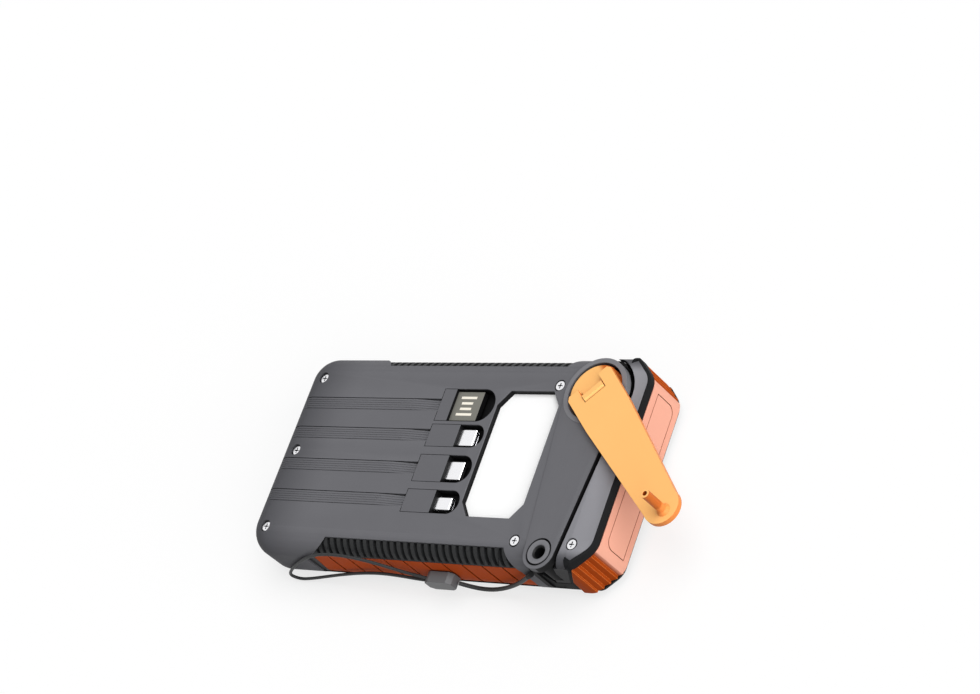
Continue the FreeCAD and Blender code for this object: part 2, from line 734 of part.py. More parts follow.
cover_outline = ([(Size(60.0), -(size.half_width - 0.3))] + toothed_corner(-1)
                 + [(size.case_right, -(size.half_width - 9.3)),
                    (size.case_right, size.half_width - 9.3)]
                 + list(reversed(toothed_corner(1)))
                 + [(Size(60.0), size.half_width - 0.3)])
port_wall = common("port_wall", [
    padded("port_teeth", cover_outline, size.cover_low, size.cover_top),
    end_form("port_soft", Size(0.0), size.cover_low, size.cover_top, Size(40.0),
             side_inset=Size(0.3)),
])
port_room = padded("port_room", [
    (Size(50.0), Size(-39.4)), (Size(72.2), Size(-39.4)), (Size(79.0), Size(-32.6)),
    (Size(79.0), Size(32.6)), (Size(72.2), Size(39.4)), (Size(50.0), Size(39.4)),
], Size(0.0), Size(30.0))
port_border = padded("port_border", [
    (Size(50.0), Size(0.0)),
    (Size(68.2), Size(0.0)),
    BORDER[2],
    BORDER[1],
    BORDER[0],
    (Size(74.0), Size(30.0)),
    (Size(50.0), Size(30.0)),
], Size(-50.0), Size(50.0), plane="XZ_Plane")


def flap_body(name, gap, inner, outer):
    """The flap's outline, two of its corners well rounded, between two X levels."""
    half = size.flap_half - gap
    low = size.flap_low + gap
    high = size.flap_high - gap
    body = padded(name, [(-half, low), (half, low), (half, high), (-half, high)],
                  inner, outer, plane="YZ_Plane")

    def soft_corner(edge):
        box = edge.BoundBox
        far_low = box.YMin > 0 and box.ZMax < 12
        near_high = box.YMax < 0 and box.ZMin > 12
        return box.XLength > 0.5 and (far_low or near_high)

    return rounded(body, f"{name}_corners", Size(3.5), soft_corner)


PORTS = {
    # name: (Y of its middle, half width, half height)
    "usb_a_port_near": (-17.0, 6.6, 2.9),
    "usb_a_port_far": (17.0, 6.6, 2.9),
    "usb_c_port": (0.0, 4.7, 1.8),
}
PORT_MIDDLE = Size(11.4)
end_posts = [
    rod("end_post_near", Size(3.0), (Size(73.5), Size(-33.1), Size(15.2)), Size(6.0)),
    block("end_rib_near", (Size(72.6), Size(74.4)), (Size(-40.0), Size(-33.0)),
          (Size(15.2), size.cover_top)),
    rod("end_post_far", Size(3.0), (Size(76.5), Size(12.5), Size(15.2)), Size(6.0)),
]
port_shell = cut("port_shell", port_wall, [port_room])
port_tools = [port_border, flap_body("flap_seat", 0.0, Size(80.6), Size(84.0))]
for port, (across, half_width, half_height) in PORTS.items():
    port_tools.append(block(f"{port}_window", (Size(78.0), Size(82.0)),
                            (Size(across - half_width - 0.3), Size(across + half_width + 0.3)),
                            (PORT_MIDDLE - half_height - 0.3, PORT_MIDDLE + half_height + 0.3)))
for number, (x, y, z) in enumerate(END_SCREWS, start=1):
    port_tools.append(rod(f"port_hole_{number}", size.screw_shank, (x, y, Size(16.0)),
                          Size(8.0)))
keep("port_cover", cut("port_cover", fuse("port_solid", [port_shell] + end_posts), port_tools))
keep("port_flap", flap_body("port_flap", 0.3, Size(80.9), size.case_right))


# ---------------------------------------------------------------- side trim

grip_form = case_body("grip_form", Size(1.0), Size(0.0), size.face - 0.4, size.corner - 1.0,
                      size.shoulder - 1.0, None)
grip_zone = block("grip_zone", (Size(-60.0), Size(60.0)), (Size(30.0), Size(50.0)),
                  (size.strip_top, Size(30.0)))
grip_solid = common("grip_solid", [grip_form, recess_far, grip_zone])
groove_section = padded("groove_section", [
    (size.recess_edge - 2.2, Size(28.0)),
    (size.recess_edge - 2.2, Size(24.7)),
    (Size(35.7), Size(24.3)),
    (Size(37.6), Size(22.9)),
    (Size(39.0), Size(20.9)),
    (Size(39.4), size.strip_top + 0.6),
    (Size(46.0), size.strip_top + 0.6),
    (Size(46.0), Size(28.0)),
], Size(-48.5), Size(47.5), plane="YZ_Plane")
GRIP_GROOVES = 29
RIB_GAP = 1.7
grip_cutters = fuse("grip_cutters", [
    block(f"grip_cutter_{number}",
          (Size(-46.8) + size.rib_pitch * number,
           Size(-46.8) + RIB_GAP + size.rib_pitch * number),
          (Size(32.0), Size(44.0)), (size.strip_top, Size(29.0)))
    for number in range(GRIP_GROOVES)
])
grip_grooves = common("grip_grooves", [groove_section, grip_cutters])
# The grip runs down past the strip's left end in a plain tail.
strip_form = case_body("strip_form", Size(0.9), Size(0.0), size.face, size.corner - 0.9,
                       size.shoulder - 0.9, size.belly_round - 0.9)
grip_tail = common("grip_tail", [padded("grip_tail_outline", [
    (Size(-56.0), size.strip_low), (Size(-52.7), size.strip_low),
    (Size(-50.6), size.strip_top), (Size(-50.6), size.strip_top + 0.6),
    (Size(-56.0), size.strip_top + 0.6),
], Size(-60.0), Size(0.0), plane="XZ_Plane"), recess_far, strip_form])
grip_far = fuse("grip_far", [cut("grip_ribbed", grip_solid, [grip_grooves]), grip_tail])
keep("grip_ribs_far", grip_far)
keep("grip_ribs_near", mirrored_side("grip_near", grip_far))

strip_bar = common("strip_bar", [padded("strip_outline", [
    (Size(-52.5), size.strip_low), (Size(60.0), size.strip_low),
    (Size(60.0), size.strip_top), (Size(-50.4), size.strip_top),
], Size(-60.0), Size(0.0), plane="XZ_Plane"), recess_far, strip_form])
STRIP_GROOVES = 10
GROOVE_WIDTH, GROOVE_DEPTH = 0.9, 0.6
strip_face = size.half_width - 0.9
strip_far = cut("strip_far", strip_bar, [
    block(f"strip_cutter_{number}",
          (Size(-42.9) + size.groove_pitch * number,
           Size(-42.9) + GROOVE_WIDTH + size.groove_pitch * number),
          (strip_face - GROOVE_DEPTH, Size(44.0)), (Size(2.0), size.strip_top + 1.0))
    for number in range(STRIP_GROOVES)
])
keep("side_strip_far", strip_far)
keep("side_strip_near", mirrored_side("strip_near", strip_far))


# ---------------------------------------------------------------- lamp, cells and outlets

keep("light_diffuser", opening_prism("light_diffuser", 0.15, Size(22.3),
                                     size.face - size.panel_depth))
keep("led_board", block("led_board", (Size(20.6), Size(46.3)), (Size(-23.6), Size(23.6)),
                        (Size(19.4), Size(20.6))))
LED_COLUMNS, LED_ROWS = 2, 4
keep("led_emitters", group("led_emitters", [
    block(f"led_{column}_{row}", (Size(26.0 + 12.0 * column), Size(29.5 + 12.0 * column)),
          (Size(-19.7 + 12.0 * row), Size(-16.9 + 12.0 * row)), (Size(20.6), Size(21.5)))
    for column in range(LED_COLUMNS) for row in range(LED_ROWS)
]))


def cell(name, sign):
    """A flat lithium cell lying along the case."""
    low, high = (Size(1.0), Size(35.0)) if sign > 0 else (Size(-35.0), Size(-1.0))
    body = padded(name, [(low, Size(9.0)), (high, Size(9.0)), (high, Size(19.0)),
                         (low, Size(19.0))], Size(-68.5), Size(17.0), plane="YZ_Plane")
    return rounded(body, f"{name}_edges", Size(4.0), lambda edge: edge.BoundBox.XLength > 50)


keep("battery_cell_far", cell("battery_cell_far", 1))
keep("battery_cell_near", cell("battery_cell_near", -1))
keep("main_board", block("main_board", (Size(54.5), Size(78.0)), (Size(-29.0), Size(29.0)),
                         (Size(6.8), Size(8.4))))


def port_socket(name, across, half_width, half_height):
    """An outlet's metal shell, open to the end face, with its tongue."""
    right, left = Size(80.4), Size(66.5)
    low, high = PORT_MIDDLE - half_height, PORT_MIDDLE + half_height
    skin = 0.35
    shell = block(f"{name}_shell", (left, right), (Size(across - half_width),
                                                   Size(across + half_width)), (low, high))
    mouth = block(f"{name}_mouth", (left + 2.0, right + 1.0),
                  (Size(across - half_width + skin), Size(across + half_width - skin)),
                  (low + skin, high - skin))
    tongue_half = half_height * 0.36
    tongue = block(f"{name}_tongue", (left + 1.0, right - 0.8),
                   (Size(across - half_width + 1.2), Size(across + half_width - 1.2)),
                   (PORT_MIDDLE - tongue_half, PORT_MIDDLE + tongue_half))
    return fuse(name, [cut(f"{name}_can", shell, [mouth]), tongue])


for port, (across, half_width, half_height) in PORTS.items():
    keep(port, port_socket(port, across, half_width, half_height))

keep("power_button", fuse("power_button", [
    block("button_cap", (BUTTON_X[0] + 0.2, BUTTON_X[1] - 0.2), (Size(39.0), Size(42.7)),
          (BUTTON_Z[0] + 0.2, BUTTON_Z[1] - 0.2)),
    block("button_flange", (BUTTON_X[0] - 0.6, BUTTON_X[1] + 0.6), (Size(39.0), Size(39.9)),
          (BUTTON_Z[0] - 0.6, BUTTON_Z[1] + 0.6)),
]))
keep("indicator_lens", block("indicator_lens", (Size(53.5), Size(60.5)),
                             (Size(40.5), Size(41.9)), (Size(16.4), Size(17.4))))


# ---------------------------------------------------------------- screws

def screw(name, x, y, top, length):
    """A pan-head cross-recess screw standing upright with its head's top at a level."""
    head = rod(f"{name}_head", size.screw_head, (x, y, top - 1.4), Size(1.4))
    shank = rod(f"{name}_shank", size.screw_shank, (x, y, top - length), Size(length - 1.4))
    slots = [
        block(f"{name}_slot_x", (Size(x - 1.1), Size(x + 1.1)), (Size(y - 0.25), Size(y + 0.25)),
              (Size(top - 0.7), Size(top + 1.0))),
        block(f"{name}_slot_y", (Size(x - 0.25), Size(x + 0.25)), (Size(y - 1.1), Size(y + 1.1)),
              (Size(top - 0.7), Size(top + 1.0))),
    ]
    return cut(name, fuse(f"{name}_blank", [head, shank]), slots)


keep("cover_screws", group("cover_screws", [
    screw(f"cover_screw_{number}", x, y, z, z - 8.0)
    for number, (x, y, z) in enumerate(COVER_SCREWS, start=1)
]))
keep("end_screws", group("end_screws", [
    screw(f"end_screw_{number}", x, y, z, 8.0)
    for number, (x, y, z) in enumerate(END_SCREWS, start=1)
]))


# ---------------------------------------------------------------- generator train

def at_angle(centre, distance, degrees):
    turn = math.radians(degrees)
    return centre + Vector(distance * math.cos(turn), distance * math.sin(turn), 0)


MODULE = float(size.gear_module)
TEETH_CRANK, TEETH_PINION, TEETH_IDLER, TEETH_ROTOR = 46, 12, 40, 10
IDLER_BEARING, ROTOR_BEARING = 240.0, 190.0
idler_at = at_angle(pivot, MODULE * (TEETH_CRANK + TEETH_PINION) / 2, IDLER_BEARING)
rotor_at = at_angle(idler_at, MODULE * (TEETH_IDLER + TEETH_ROTOR) / 2, ROTOR_BEARING)


def gear(name, teeth, centre, low, high, bore, tooth_at):
    """An involute spur gear with one tooth's middle at a bearing, in degrees."""
    pressure = math.radians(25.0)
    pitch = MODULE * teeth / 2
    base = pitch * math.cos(pressure)
    root, tip = pitch - 1.1 * MODULE, pitch + 0.8 * MODULE
    half_pitch_angle = 0.44 * math.pi / teeth

    def involute(radius):
        ratio = base / radius
        return math.sqrt(1 / ratio ** 2 - 1) - math.acos(ratio)

    def half_angle(radius):
        return half_pitch_angle + involute(pitch) - involute(radius)

    flank = [max(base, root) + (tip - max(base, root)) * step / 4 for step in range(5)]
    profile = [(root, half_angle(flank[0]))] if root < flank[0] else []
    profile += [(radius, half_angle(radius)) for radius in flank]
    points = []
    for tooth in range(teeth):
        mid = math.radians(tooth_at) + 2 * math.pi * tooth / teeth
        sides = [(radius, mid - angle) for radius, angle in profile]
        sides += [(radius, mid + angle) for radius, angle in reversed(profile)]
        points += [Vector(radius * math.cos(turn), radius * math.sin(turn), 0)
                   for radius, turn in sides]
    face = Part.Face(Part.makePolygon(points + points[:1]))
    blank = face.extrude(Vector(0, 0, high - low))
    shape = blank.cut(Part.makeCylinder(bore, high - low)) if bore else blank
    return fixed_shape(name, shape, Placement(centre + Vector(0, 0, low), Rotation()))


CRANK_LEVELS, ROTOR_LEVELS = (15.6, 18.2), (12.4, 14.6)
shaft = float(size.shaft_radius)
keep("crank_gear", gear("crank_gear", TEETH_CRANK, pivot, *CRANK_LEVELS, shaft, IDLER_BEARING))
idler_pinion = gear("idler_pinion", TEETH_PINION, idler_at, CRANK_LEVELS[0] - 1.0,
                    CRANK_LEVELS[1], 1.05, IDLER_BEARING + 180 + 180 / TEETH_PINION)
idler_wheel = gear("idler_wheel", TEETH_IDLER, idler_at, *ROTOR_LEVELS, 1.05, ROTOR_BEARING)
keep("idler_gear", fuse("idler_gear", [idler_pinion, idler_wheel]))
keep("idler_axle", rod("idler_axle", Size(1.0), (idler_at.x, idler_at.y, Size(9.5)), Size(9.2)))
rotor_pinion = gear("rotor_pinion", TEETH_ROTOR, rotor_at, ROTOR_LEVELS[0] - 0.4,
                    ROTOR_LEVELS[1] + 0.2, 0.0, ROTOR_BEARING + 180 + 180 / TEETH_ROTOR)
keep("generator_rotor", fuse("generator_rotor", [
    rotor_pinion,
    rod("rotor_shaft", Size(1.0), (rotor_at.x, rotor_at.y, Size(4.2)), Size(8.0)),
    rod("rotor_magnet", Size(8.6), (rotor_at.x, rotor_at.y, Size(4.6)), Size(3.4)),
]))
CAN_RADIUS = Size(10.5)
keep("generator_case", cut("generator_case",
     rod("can_outside", CAN_RADIUS, (rotor_at.x, rotor_at.y, Size(2.6)), Size(6.8)), [
         rod("can_inside", CAN_RADIUS - 0.9, (rotor_at.x, rotor_at.y, Size(3.6)), Size(4.9)),
         rod("can_hole", Size(1.0) + size.running_gap, (rotor_at.x, rotor_at.y, Size(8.0)),
             Size(3.0)),
     ]))
keep("gearbox_plate", cut("gearbox_plate", padded("plate_blank", [
    (Size(30.5), Size(1.5)), (Size(56.5), Size(1.5)), (Size(65.6), Size(18.0)),
    (Size(65.6), Size(36.5)), (Size(30.5), Size(36.5)),
], Size(9.5), Size(11.5)), [
    rod("plate_shaft_hole", size.shaft_radius + size.running_gap,
        (size.pivot_along, size.pivot_across, Size(9.0)), Size(4.0)),
    rod("plate_rotor_hole", Size(1.0) + size.running_gap, (rotor_at.x, rotor_at.y, Size(9.0)),
        Size(4.0)),
    rod("plate_axle_hole", Size(1.0), (idler_at.x, idler_at.y, Size(9.0)), Size(4.0)),
    rod("plate_post_hole", Size(3.6), (COVER_SCREWS[3][0], COVER_SCREWS[3][1], Size(9.0)),
        Size(4.0)),
]))
keep("shaft_bush", cut("shaft_bush",
     rod("bush_outside", Size(3.6), (size.pivot_along, size.pivot_across, Size(18.4)),
         Size(2.1)),
     [rod("bush_bore", size.shaft_radius + size.running_gap,
          (size.pivot_along, size.pivot_across, Size(18.0)), Size(4.0))]))


# ---------------------------------------------------------------- crank

# The crank's pieces are drawn along a local X axis that runs from the pivot to the knob,
# then turned to the angle at which the crank rests.
REST_ANGLE = math.degrees(math.atan2(-0.690, 0.724))
HINGE_AXIS = Rotation(Vector(1, 0, 0), -90)


def set_on_pivot(label, obj):
    place(obj, (size.pivot_along, size.pivot_across, Size(0.0)),
          Rotation(Vector(0, 0, 1), REST_ANGLE))
    return keep(label, obj)


def along_hinge(name, radius, near, far):
    """A cylinder on the fold axis between two distances across the arm."""
    return rod(name, radius, (size.hinge_offset, near, size.hinge_height), far - near,
               HINGE_AXIS)


LUG_HALF = Size(4.4)
KNUCKLE = Size(1.9)
LUG_TOP = Size(30.1)
NOTCH_HALF = Size(4.7)
FORK_SWING = Size(5.6)
hub_disc = rod("hub_disc", size.hub_radius, (Size(0.0), Size(0.0), size.hub_floor),
               size.hub_top - size.hub_floor)
hub_disc_open = cut("hub_disc_open", hub_disc, [
    along_hinge("fork_room_far", FORK_SWING, LUG_HALF, Size(12.0)),
    along_hinge("fork_room_near", FORK_SWING, Size(-12.0), -LUG_HALF),
])
hub_lug = fuse("hub_lug", [
    along_hinge("hub_knuckle", KNUCKLE, -LUG_HALF, LUG_HALF),
    block("hub_lug_foot", (size.hinge_offset - KNUCKLE, size.hinge_offset + KNUCKLE),
          (-LUG_HALF, LUG_HALF), (size.hub_floor, size.hinge_height)),
])
hub_shaft = rod("hub_shaft", size.shaft_radius, (Size(0.0), Size(0.0), Size(9.8)),
                size.hub_floor - 9.8)
PIN_RADIUS = Size(0.55)
set_on_pivot("crank_hub", cut("crank_hub", fuse("hub_solid", [
    hub_disc_open, hub_lug, hub_shaft,
]), [
    along_hinge("hub_pin_hole", PIN_RADIUS, Size(-12.0), Size(12.0)),
    block("hub_lug_flat", (Size(-2.0), Size(6.0)), (Size(-6.0), Size(6.0)),
          (LUG_TOP, Size(32.0))),
]))
set_on_pivot("hinge_pin", group("hinge_pin", [
    along_hinge("hinge_pin_bar", PIN_RADIUS, Size(-9.0), Size(9.0)),
]))

# The root's corners are bevelled so that they swing clear of the ring as the arm folds.
ROOT_END, NARROWING = Size(-3.2), Size(16.0)
BEVEL_ALONG, BEVEL_ACROSS = Size(1.6), Size(1.1)
TIP_CENTRE, TIP_RADIUS = Size(65.0), Size(6.9)
arm_low = size.hinge_height - size.arm_half
arm_high = size.hinge_height + size.arm_half
arm_plate = padded("arm_plate", [
    (ROOT_END, -(size.arm_root - BEVEL_ACROSS)),
    (ROOT_END + BEVEL_ALONG, -size.arm_root),
    (NARROWING, -size.arm_middle),
    (TIP_CENTRE - 1.0, -size.arm_tip),
    (TIP_CENTRE - 1.0, size.arm_tip),
    (NARROWING, size.arm_middle),
    (ROOT_END + BEVEL_ALONG, size.arm_root),
    (ROOT_END, size.arm_root - BEVEL_ACROSS),
], arm_low, arm_high)
arm_round = rod("arm_round", TIP_RADIUS, (TIP_CENTRE, Size(0.0), arm_low), arm_high - arm_low)
knob = rod("knob", size.knob_radius, (size.knob_along, Size(0.0), arm_high - 0.1),
           size.knob_length + 0.1)
knob_foot = cone("knob_foot", size.knob_radius + 0.9, size.knob_radius,
                 (size.knob_along, Size(0.0), arm_high - 0.05), Size(1.3))
set_on_pivot("crank_arm", cut("crank_arm", fuse("arm_solid", [
    arm_plate, arm_round, knob, knob_foot,
]), [
    block("fork_notch", (ROOT_END - 2.0, size.hinge_offset + KNUCKLE + 0.15),
          (-NOTCH_HALF, NOTCH_HALF), (Size(25.0), Size(32.0))),
    along_hinge("fork_pin_hole", PIN_RADIUS + size.running_gap, Size(-12.0), Size(12.0)),
    rod("knob_hollow", Size(0.86), (size.knob_along, Size(0.0), arm_high + 9.0), Size(4.0)),
]))

keep("pivot_ring", cut("pivot_ring",
     rod("ring_outside", size.ring_outer, (size.pivot_along, size.pivot_across, Size(24.0)),
         size.pad_top + 0.1 - 24.0),
     [rod("ring_inside", size.ring_inner, (size.pivot_along, size.pivot_across, Size(23.0)),
          Size(6.0))]))
boss_at = (size.pivot_along, size.boss_across)
keep("boss_socket", cut("boss_socket", fuse("socket_blank", [
    rod("socket_flange", size.socket_radius, (*boss_at, SOCKET_STEP), size.pad_top - SOCKET_STEP),
    rod("socket_tube", SOCKET_TUBE, (*boss_at, size.knob_hole_floor - 1.0),
        SOCKET_STEP - size.knob_hole_floor + 1.0),
]), [
    rod("socket_hole", size.knob_hole, (*boss_at, size.knob_hole_floor), Size(20.0)),
    cone("socket_bevel", size.knob_hole, size.knob_hole + 0.8, (*boss_at, size.pad_top - 0.8),
         Size(0.8)),
]))


# ---------------------------------------------------------------- captive plugs and leads

TIPS = {
    # name: (right end, low Y, high Y, lower face)
    "usb_a": (10.3, 13.7, 25.6, 23.1),
    "micro": (13.1, 3.4, 10.1, 23.0),
    "slim": (13.0, -10.5, -2.9, 23.5),
    "usb_c": (13.1, -22.8, -17.2, 22.8),
}
HEAD_GAP = Size(0.2)
for lane, (across, well_low, well_high) in LANES.items():
    head_right = Size(HEAD_RIGHT[lane])
    keep(f"plug_head_{lane}", block(
        f"plug_head_{lane}", (size.head_left, head_right),
        (well_low + HEAD_GAP, well_high - HEAD_GAP), (size.well_floor + 0.3, size.face)))
    right, low, high, under = TIPS[lane]
    tip = block(f"tip_blank_{lane}", (head_right, Size(right)), (Size(low), Size(high)),
                (Size(under), size.tip_top))
    keep(f"plug_tip_{lane}", tip)
    left = size.lead_hinge + 0.1
    keep(f"flat_cable_{lane}", strap_section(
        f"flat_cable_{lane}", across, size.lead_width, size.lead_thick, left, size.head_left,
        [(size.head_left, size.face - LEAD_DIP), (size.lead_bend, size.face),
         (left, size.face)]))
    keep(f"cable_root_{lane}", shoulder_strap(
        f"cable_root_{lane}", across, float(size.lead_width), 0.0, float(size.lead_thick),
        extra=-0.1))
CONTACTS = {16.25: 7.4, 18.55: 5.3, 20.85: 5.3, 23.15: 7.4}
CONTACT_MIDDLE = 3.75
keep("plug_contacts", group("plug_contacts", [
    block(f"contact_{number}",
          (Size(CONTACT_MIDDLE - length / 2), Size(CONTACT_MIDDLE + length / 2)),
          (Size(y - 0.5), Size(y + 0.5)), (size.tip_top, size.tip_top + 0.08))
    for number, (y, length) in enumerate(CONTACTS.items(), start=1)
]))


# ---------------------------------------------------------------- wrist cord

def cord_path(route):
    """Straight runs joined by tangent arcs, each arc as large as its two runs allow."""
    points = [Vector(*point) for point in route]
    edges, start, radii = [], points[0], []
    for before, corner, after in zip(points, points[1:], points[2:]):
        arrive = (corner - before).normalize()
        leave = (after - corner).normalize()
        turn = arrive.getAngle(leave)
        trim = 0.45 * min(corner.distanceToPoint(before), corner.distanceToPoint(after))
        radius = trim / math.tan(turn / 2)
        inward = (leave - arrive).normalize()
        first, last = corner - arrive * trim, corner + leave * trim
        centre = corner + inward * (radius / math.cos(turn / 2))
        edges.append(Part.LineSegment(start, first).toShape())
        edges.append(Part.Arc(first, centre - inward * radius, last).toShape())
        start = last
        radii.append(radius)
    edges.append(Part.LineSegment(start, points[-1]).toShape())
    return Part.Wire(edges), radii


def cord_tube(name, route, radius):
    """A round cord along its route; its radii and its length are printed."""
    wire, radii = cord_path(route)
    start = Vector(*route[0])
    heading = Vector(*route[1]) - start
    section = Part.Wire([Part.makeCircle(radius, start, heading)])
    tube = wire.makePipeShell([section], True, False)
    print(f"{name}: length {wire.Length:.1f}, radii", " ".join(f"{r:.1f}" for r in radii),
          f"volume ratio {tube.Volume / (math.pi * radius ** 2 * wire.Length):.4f}")
    return fixed_shape(name, tube)


BEAD_CENTRE = (8.2, -43.6, 10.3)
BEAD_LENGTH = 12.5
BEAD_BEVEL = 2.0
CORD_GAP = 0.15
bead_half = BEAD_LENGTH / 2
TAIL_ROUTE = [
    (54.3, -43.4, 18.9),
    (49.0, -43.4, 14.8),
    (42.5, -43.3, 10.5),
    (34.5, -43.2, 6.4),
    (26.5, -43.2, 4.2),
    (19.5, -43.4, 5.6),
    (BEAD_CENTRE[0] + bead_half + 0.7, -43.6, 9.1),
]
LOOP_ROUTE = [
    (BEAD_CENTRE[0] - bead_half - CORD_GAP, -43.5, 11.4),
    (-5.5, -43.2, 13.6),
    (-13.5, -42.8, 17.4),
    (-22.5, -42.4, 21.2),
    (-32.5, -42.3, 23.8),
    (-43.0, -42.5, 23.9),
    (-53.0, -43.0, 20.0),
    (-62.0, -43.2, 14.2),
    (-69.5, -43.3, 8.6),
    (-73.0, -43.4, 4.6),
    (-69.8, -43.4, 1.7),
    (-63.0, -43.2, 2.6),
    (-53.5, -43.0, 5.0),
    (-43.0, -42.8, 7.6),
    (-32.0, -42.6, 9.7),
    (-21.5, -42.7, 10.9),
    (-11.5, -43.1, 10.6),
    (-4.0, -43.4, 9.6),
    (BEAD_CENTRE[0] - bead_half - CORD_GAP, -43.5, 9.2),
]
keep("lanyard_tail", cord_tube("lanyard_tail", TAIL_ROUTE, float(size.tail_radius)))
keep("lanyard_loop", cord_tube("lanyard_loop", LOOP_ROUTE, float(size.cord_radius)))

bead_high, bead_deep = Size(6.0), Size(4.4)
bead = padded("lanyard_bead", [
    (Size(-bead_half), -bead_high * 0.30), (Size(-bead_half + BEAD_BEVEL), -bead_high / 2),
    (Size(bead_half - BEAD_BEVEL), -bead_high / 2), (Size(bead_half), -bead_high * 0.30),
    (Size(bead_half), bead_high * 0.30), (Size(bead_half - BEAD_BEVEL), bead_high / 2),
    (Size(-bead_half + BEAD_BEVEL), bead_high / 2), (Size(-bead_half), bead_high * 0.30),
], -bead_deep / 2, bead_deep / 2, plane="XZ_Plane")
place(bead, [Size(value) for value in BEAD_CENTRE])
keep("lanyard_bead", bead)

FERRULE_LENGTH = 3.0
tail_start = Vector(*TAIL_ROUTE[0])
tail_heading = (Vector(*TAIL_ROUTE[1]) - tail_start).normalize()
ferrule_from = tail_start - tail_heading * FERRULE_LENGTH
keep("lanyard_ferrule", rod("lanyard_ferrule", Size(1.1),
                            (ferrule_from.x, ferrule_from.y, ferrule_from.z),
                            Size(FERRULE_LENGTH), Rotation(Vector(0, 0, 1), tail_heading)))


# ---------------------------------------------------------------- checks and files

doc.recompute()
for obj in doc.Objects:
    if {"Invalid", "Error"} & set(obj.State):
        raise RuntimeError(f"{obj.Name} failed: {obj.State}")
os.makedirs("parts", exist_ok=True)
for label, obj in finished.items():
    shape = obj.Shape
    if shape.isNull() or not shape.isValid() or not shape.Solids:
        raise RuntimeError(f"{label} is no valid solid")
    shape.exportStep(f"parts/{label}.step")
print(f"{len(finished)} sub-parts")
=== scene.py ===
import json
import math

import bmesh
import bpy
from mathutils import Matrix, Vector


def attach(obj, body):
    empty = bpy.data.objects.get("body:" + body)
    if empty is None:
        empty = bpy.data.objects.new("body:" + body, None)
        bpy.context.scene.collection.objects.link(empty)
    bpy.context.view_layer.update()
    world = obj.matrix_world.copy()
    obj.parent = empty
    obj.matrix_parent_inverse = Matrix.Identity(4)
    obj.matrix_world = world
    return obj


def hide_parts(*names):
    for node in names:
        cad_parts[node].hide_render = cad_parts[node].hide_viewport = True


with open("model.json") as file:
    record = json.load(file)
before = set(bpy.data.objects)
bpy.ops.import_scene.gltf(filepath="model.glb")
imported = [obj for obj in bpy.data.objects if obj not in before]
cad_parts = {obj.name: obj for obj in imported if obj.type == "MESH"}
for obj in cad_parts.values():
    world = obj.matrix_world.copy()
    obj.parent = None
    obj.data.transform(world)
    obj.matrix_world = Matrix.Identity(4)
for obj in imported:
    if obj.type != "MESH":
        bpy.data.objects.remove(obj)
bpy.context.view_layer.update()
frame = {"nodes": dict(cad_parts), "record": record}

# Hand crank phone charger, dressed for rendering. Lengths are in millimetres, and mm() turns
# them into metres at the last step; the frame is the CAD model's.
MM = 0.001


def mm(*values):
    return Vector([value * MM for value in values])


# ---------------------------------------------------------------- camera

CAMERA_AT = (653.4, -339.0, 690.8)
CAMERA_RIGHT = (0.76390, 0.32143, -0.55959)
CAMERA_UP = (0.00080, 0.86666, 0.49891)
CAMERA_BACK = (0.64533, -0.38156, 0.66178)
LENS_MM = 100.05
SENSOR_MM = 36.0
SIGHT_METRES = 20.0

camera_data = bpy.data.cameras.new("camera")
camera_data.lens = LENS_MM
camera_data.sensor_width = SENSOR_MM
camera_data.clip_end = SIGHT_METRES
camera = bpy.data.objects.new("camera", camera_data)
turn = Matrix((CAMERA_RIGHT, CAMERA_UP, CAMERA_BACK)).transposed().to_4x4()
camera.matrix_world = Matrix.Translation(mm(*CAMERA_AT)) @ turn
bpy.context.scene.collection.objects.link(camera)
bpy.context.scene.camera = camera


# ---------------------------------------------------------------- stage and light

AMBIENT = 0.26
# name: (strength, softness in degrees, direction towards the lamp)
LAMPS = {"key": (2.0, 50.0, (0.45, 0.22, 0.86)),
         "side": (2.3, 60.0, (0.95, -0.25, 0.30))}
FLOOR_HALF = 3.0  # metres
FLOOR_SEEN, FLOOR_BOUNCE = 0.97, 0.22
FLOOR_GLOW = 0.72
FLOOR_ROUGHNESS = 0.9


def srgb(red, green, blue):
    """Linear colour of an 8-bit display colour."""

    def linear(value):
        value /= 255
        return value / 12.92 if value <= 0.04045 else ((value + 0.055) / 1.055) ** 2.4

    return (linear(red), linear(green), linear(blue), 1.0)


def add(tree, kind, **inputs):
    """A new shader node with some of its sockets set by name."""
    node = tree.nodes.new(kind)
    for name, value in inputs.items():
        node.inputs[name.replace("_", " ")].default_value = value
    return node


def math_node(tree, operation, *inputs):
    """A Math node on numbers or sockets; returns its output."""
    node = tree.nodes.new("ShaderNodeMath")
    node.operation = operation
    for socket, value in zip(node.inputs, inputs):
        if isinstance(value, (int, float)):
            socket.default_value = value
        else:
            tree.links.new(value, socket)
    return node.outputs[0]


def seen_ray(tree):
    """1 for rays that show the stage, straight on or in gloss and glass, and 0 for its bounce."""
    path = tree.nodes.new("ShaderNodeLightPath")
    either = math_node(tree, "MAXIMUM", path.outputs["Is Glossy Ray"],
                       path.outputs["Is Transmission Ray"])
    return math_node(tree, "MAXIMUM", path.outputs["Is Camera Ray"], either)


def make_world():
    """A white surround that is seen bright and lights the charger softly."""
    world = bpy.data.worlds.new("studio")
    world.use_nodes = True
    tree = world.node_tree
    background = tree.nodes["Background"]
    background.inputs["Color"].default_value = (1, 1, 1, 1)
    strength = add(tree, "ShaderNodeMapRange", To_Min=AMBIENT, To_Max=1.0)
    tree.links.new(seen_ray(tree), strength.inputs["Value"])
    tree.links.new(strength.outputs[0], background.inputs["Strength"])
    bpy.context.scene.world = world


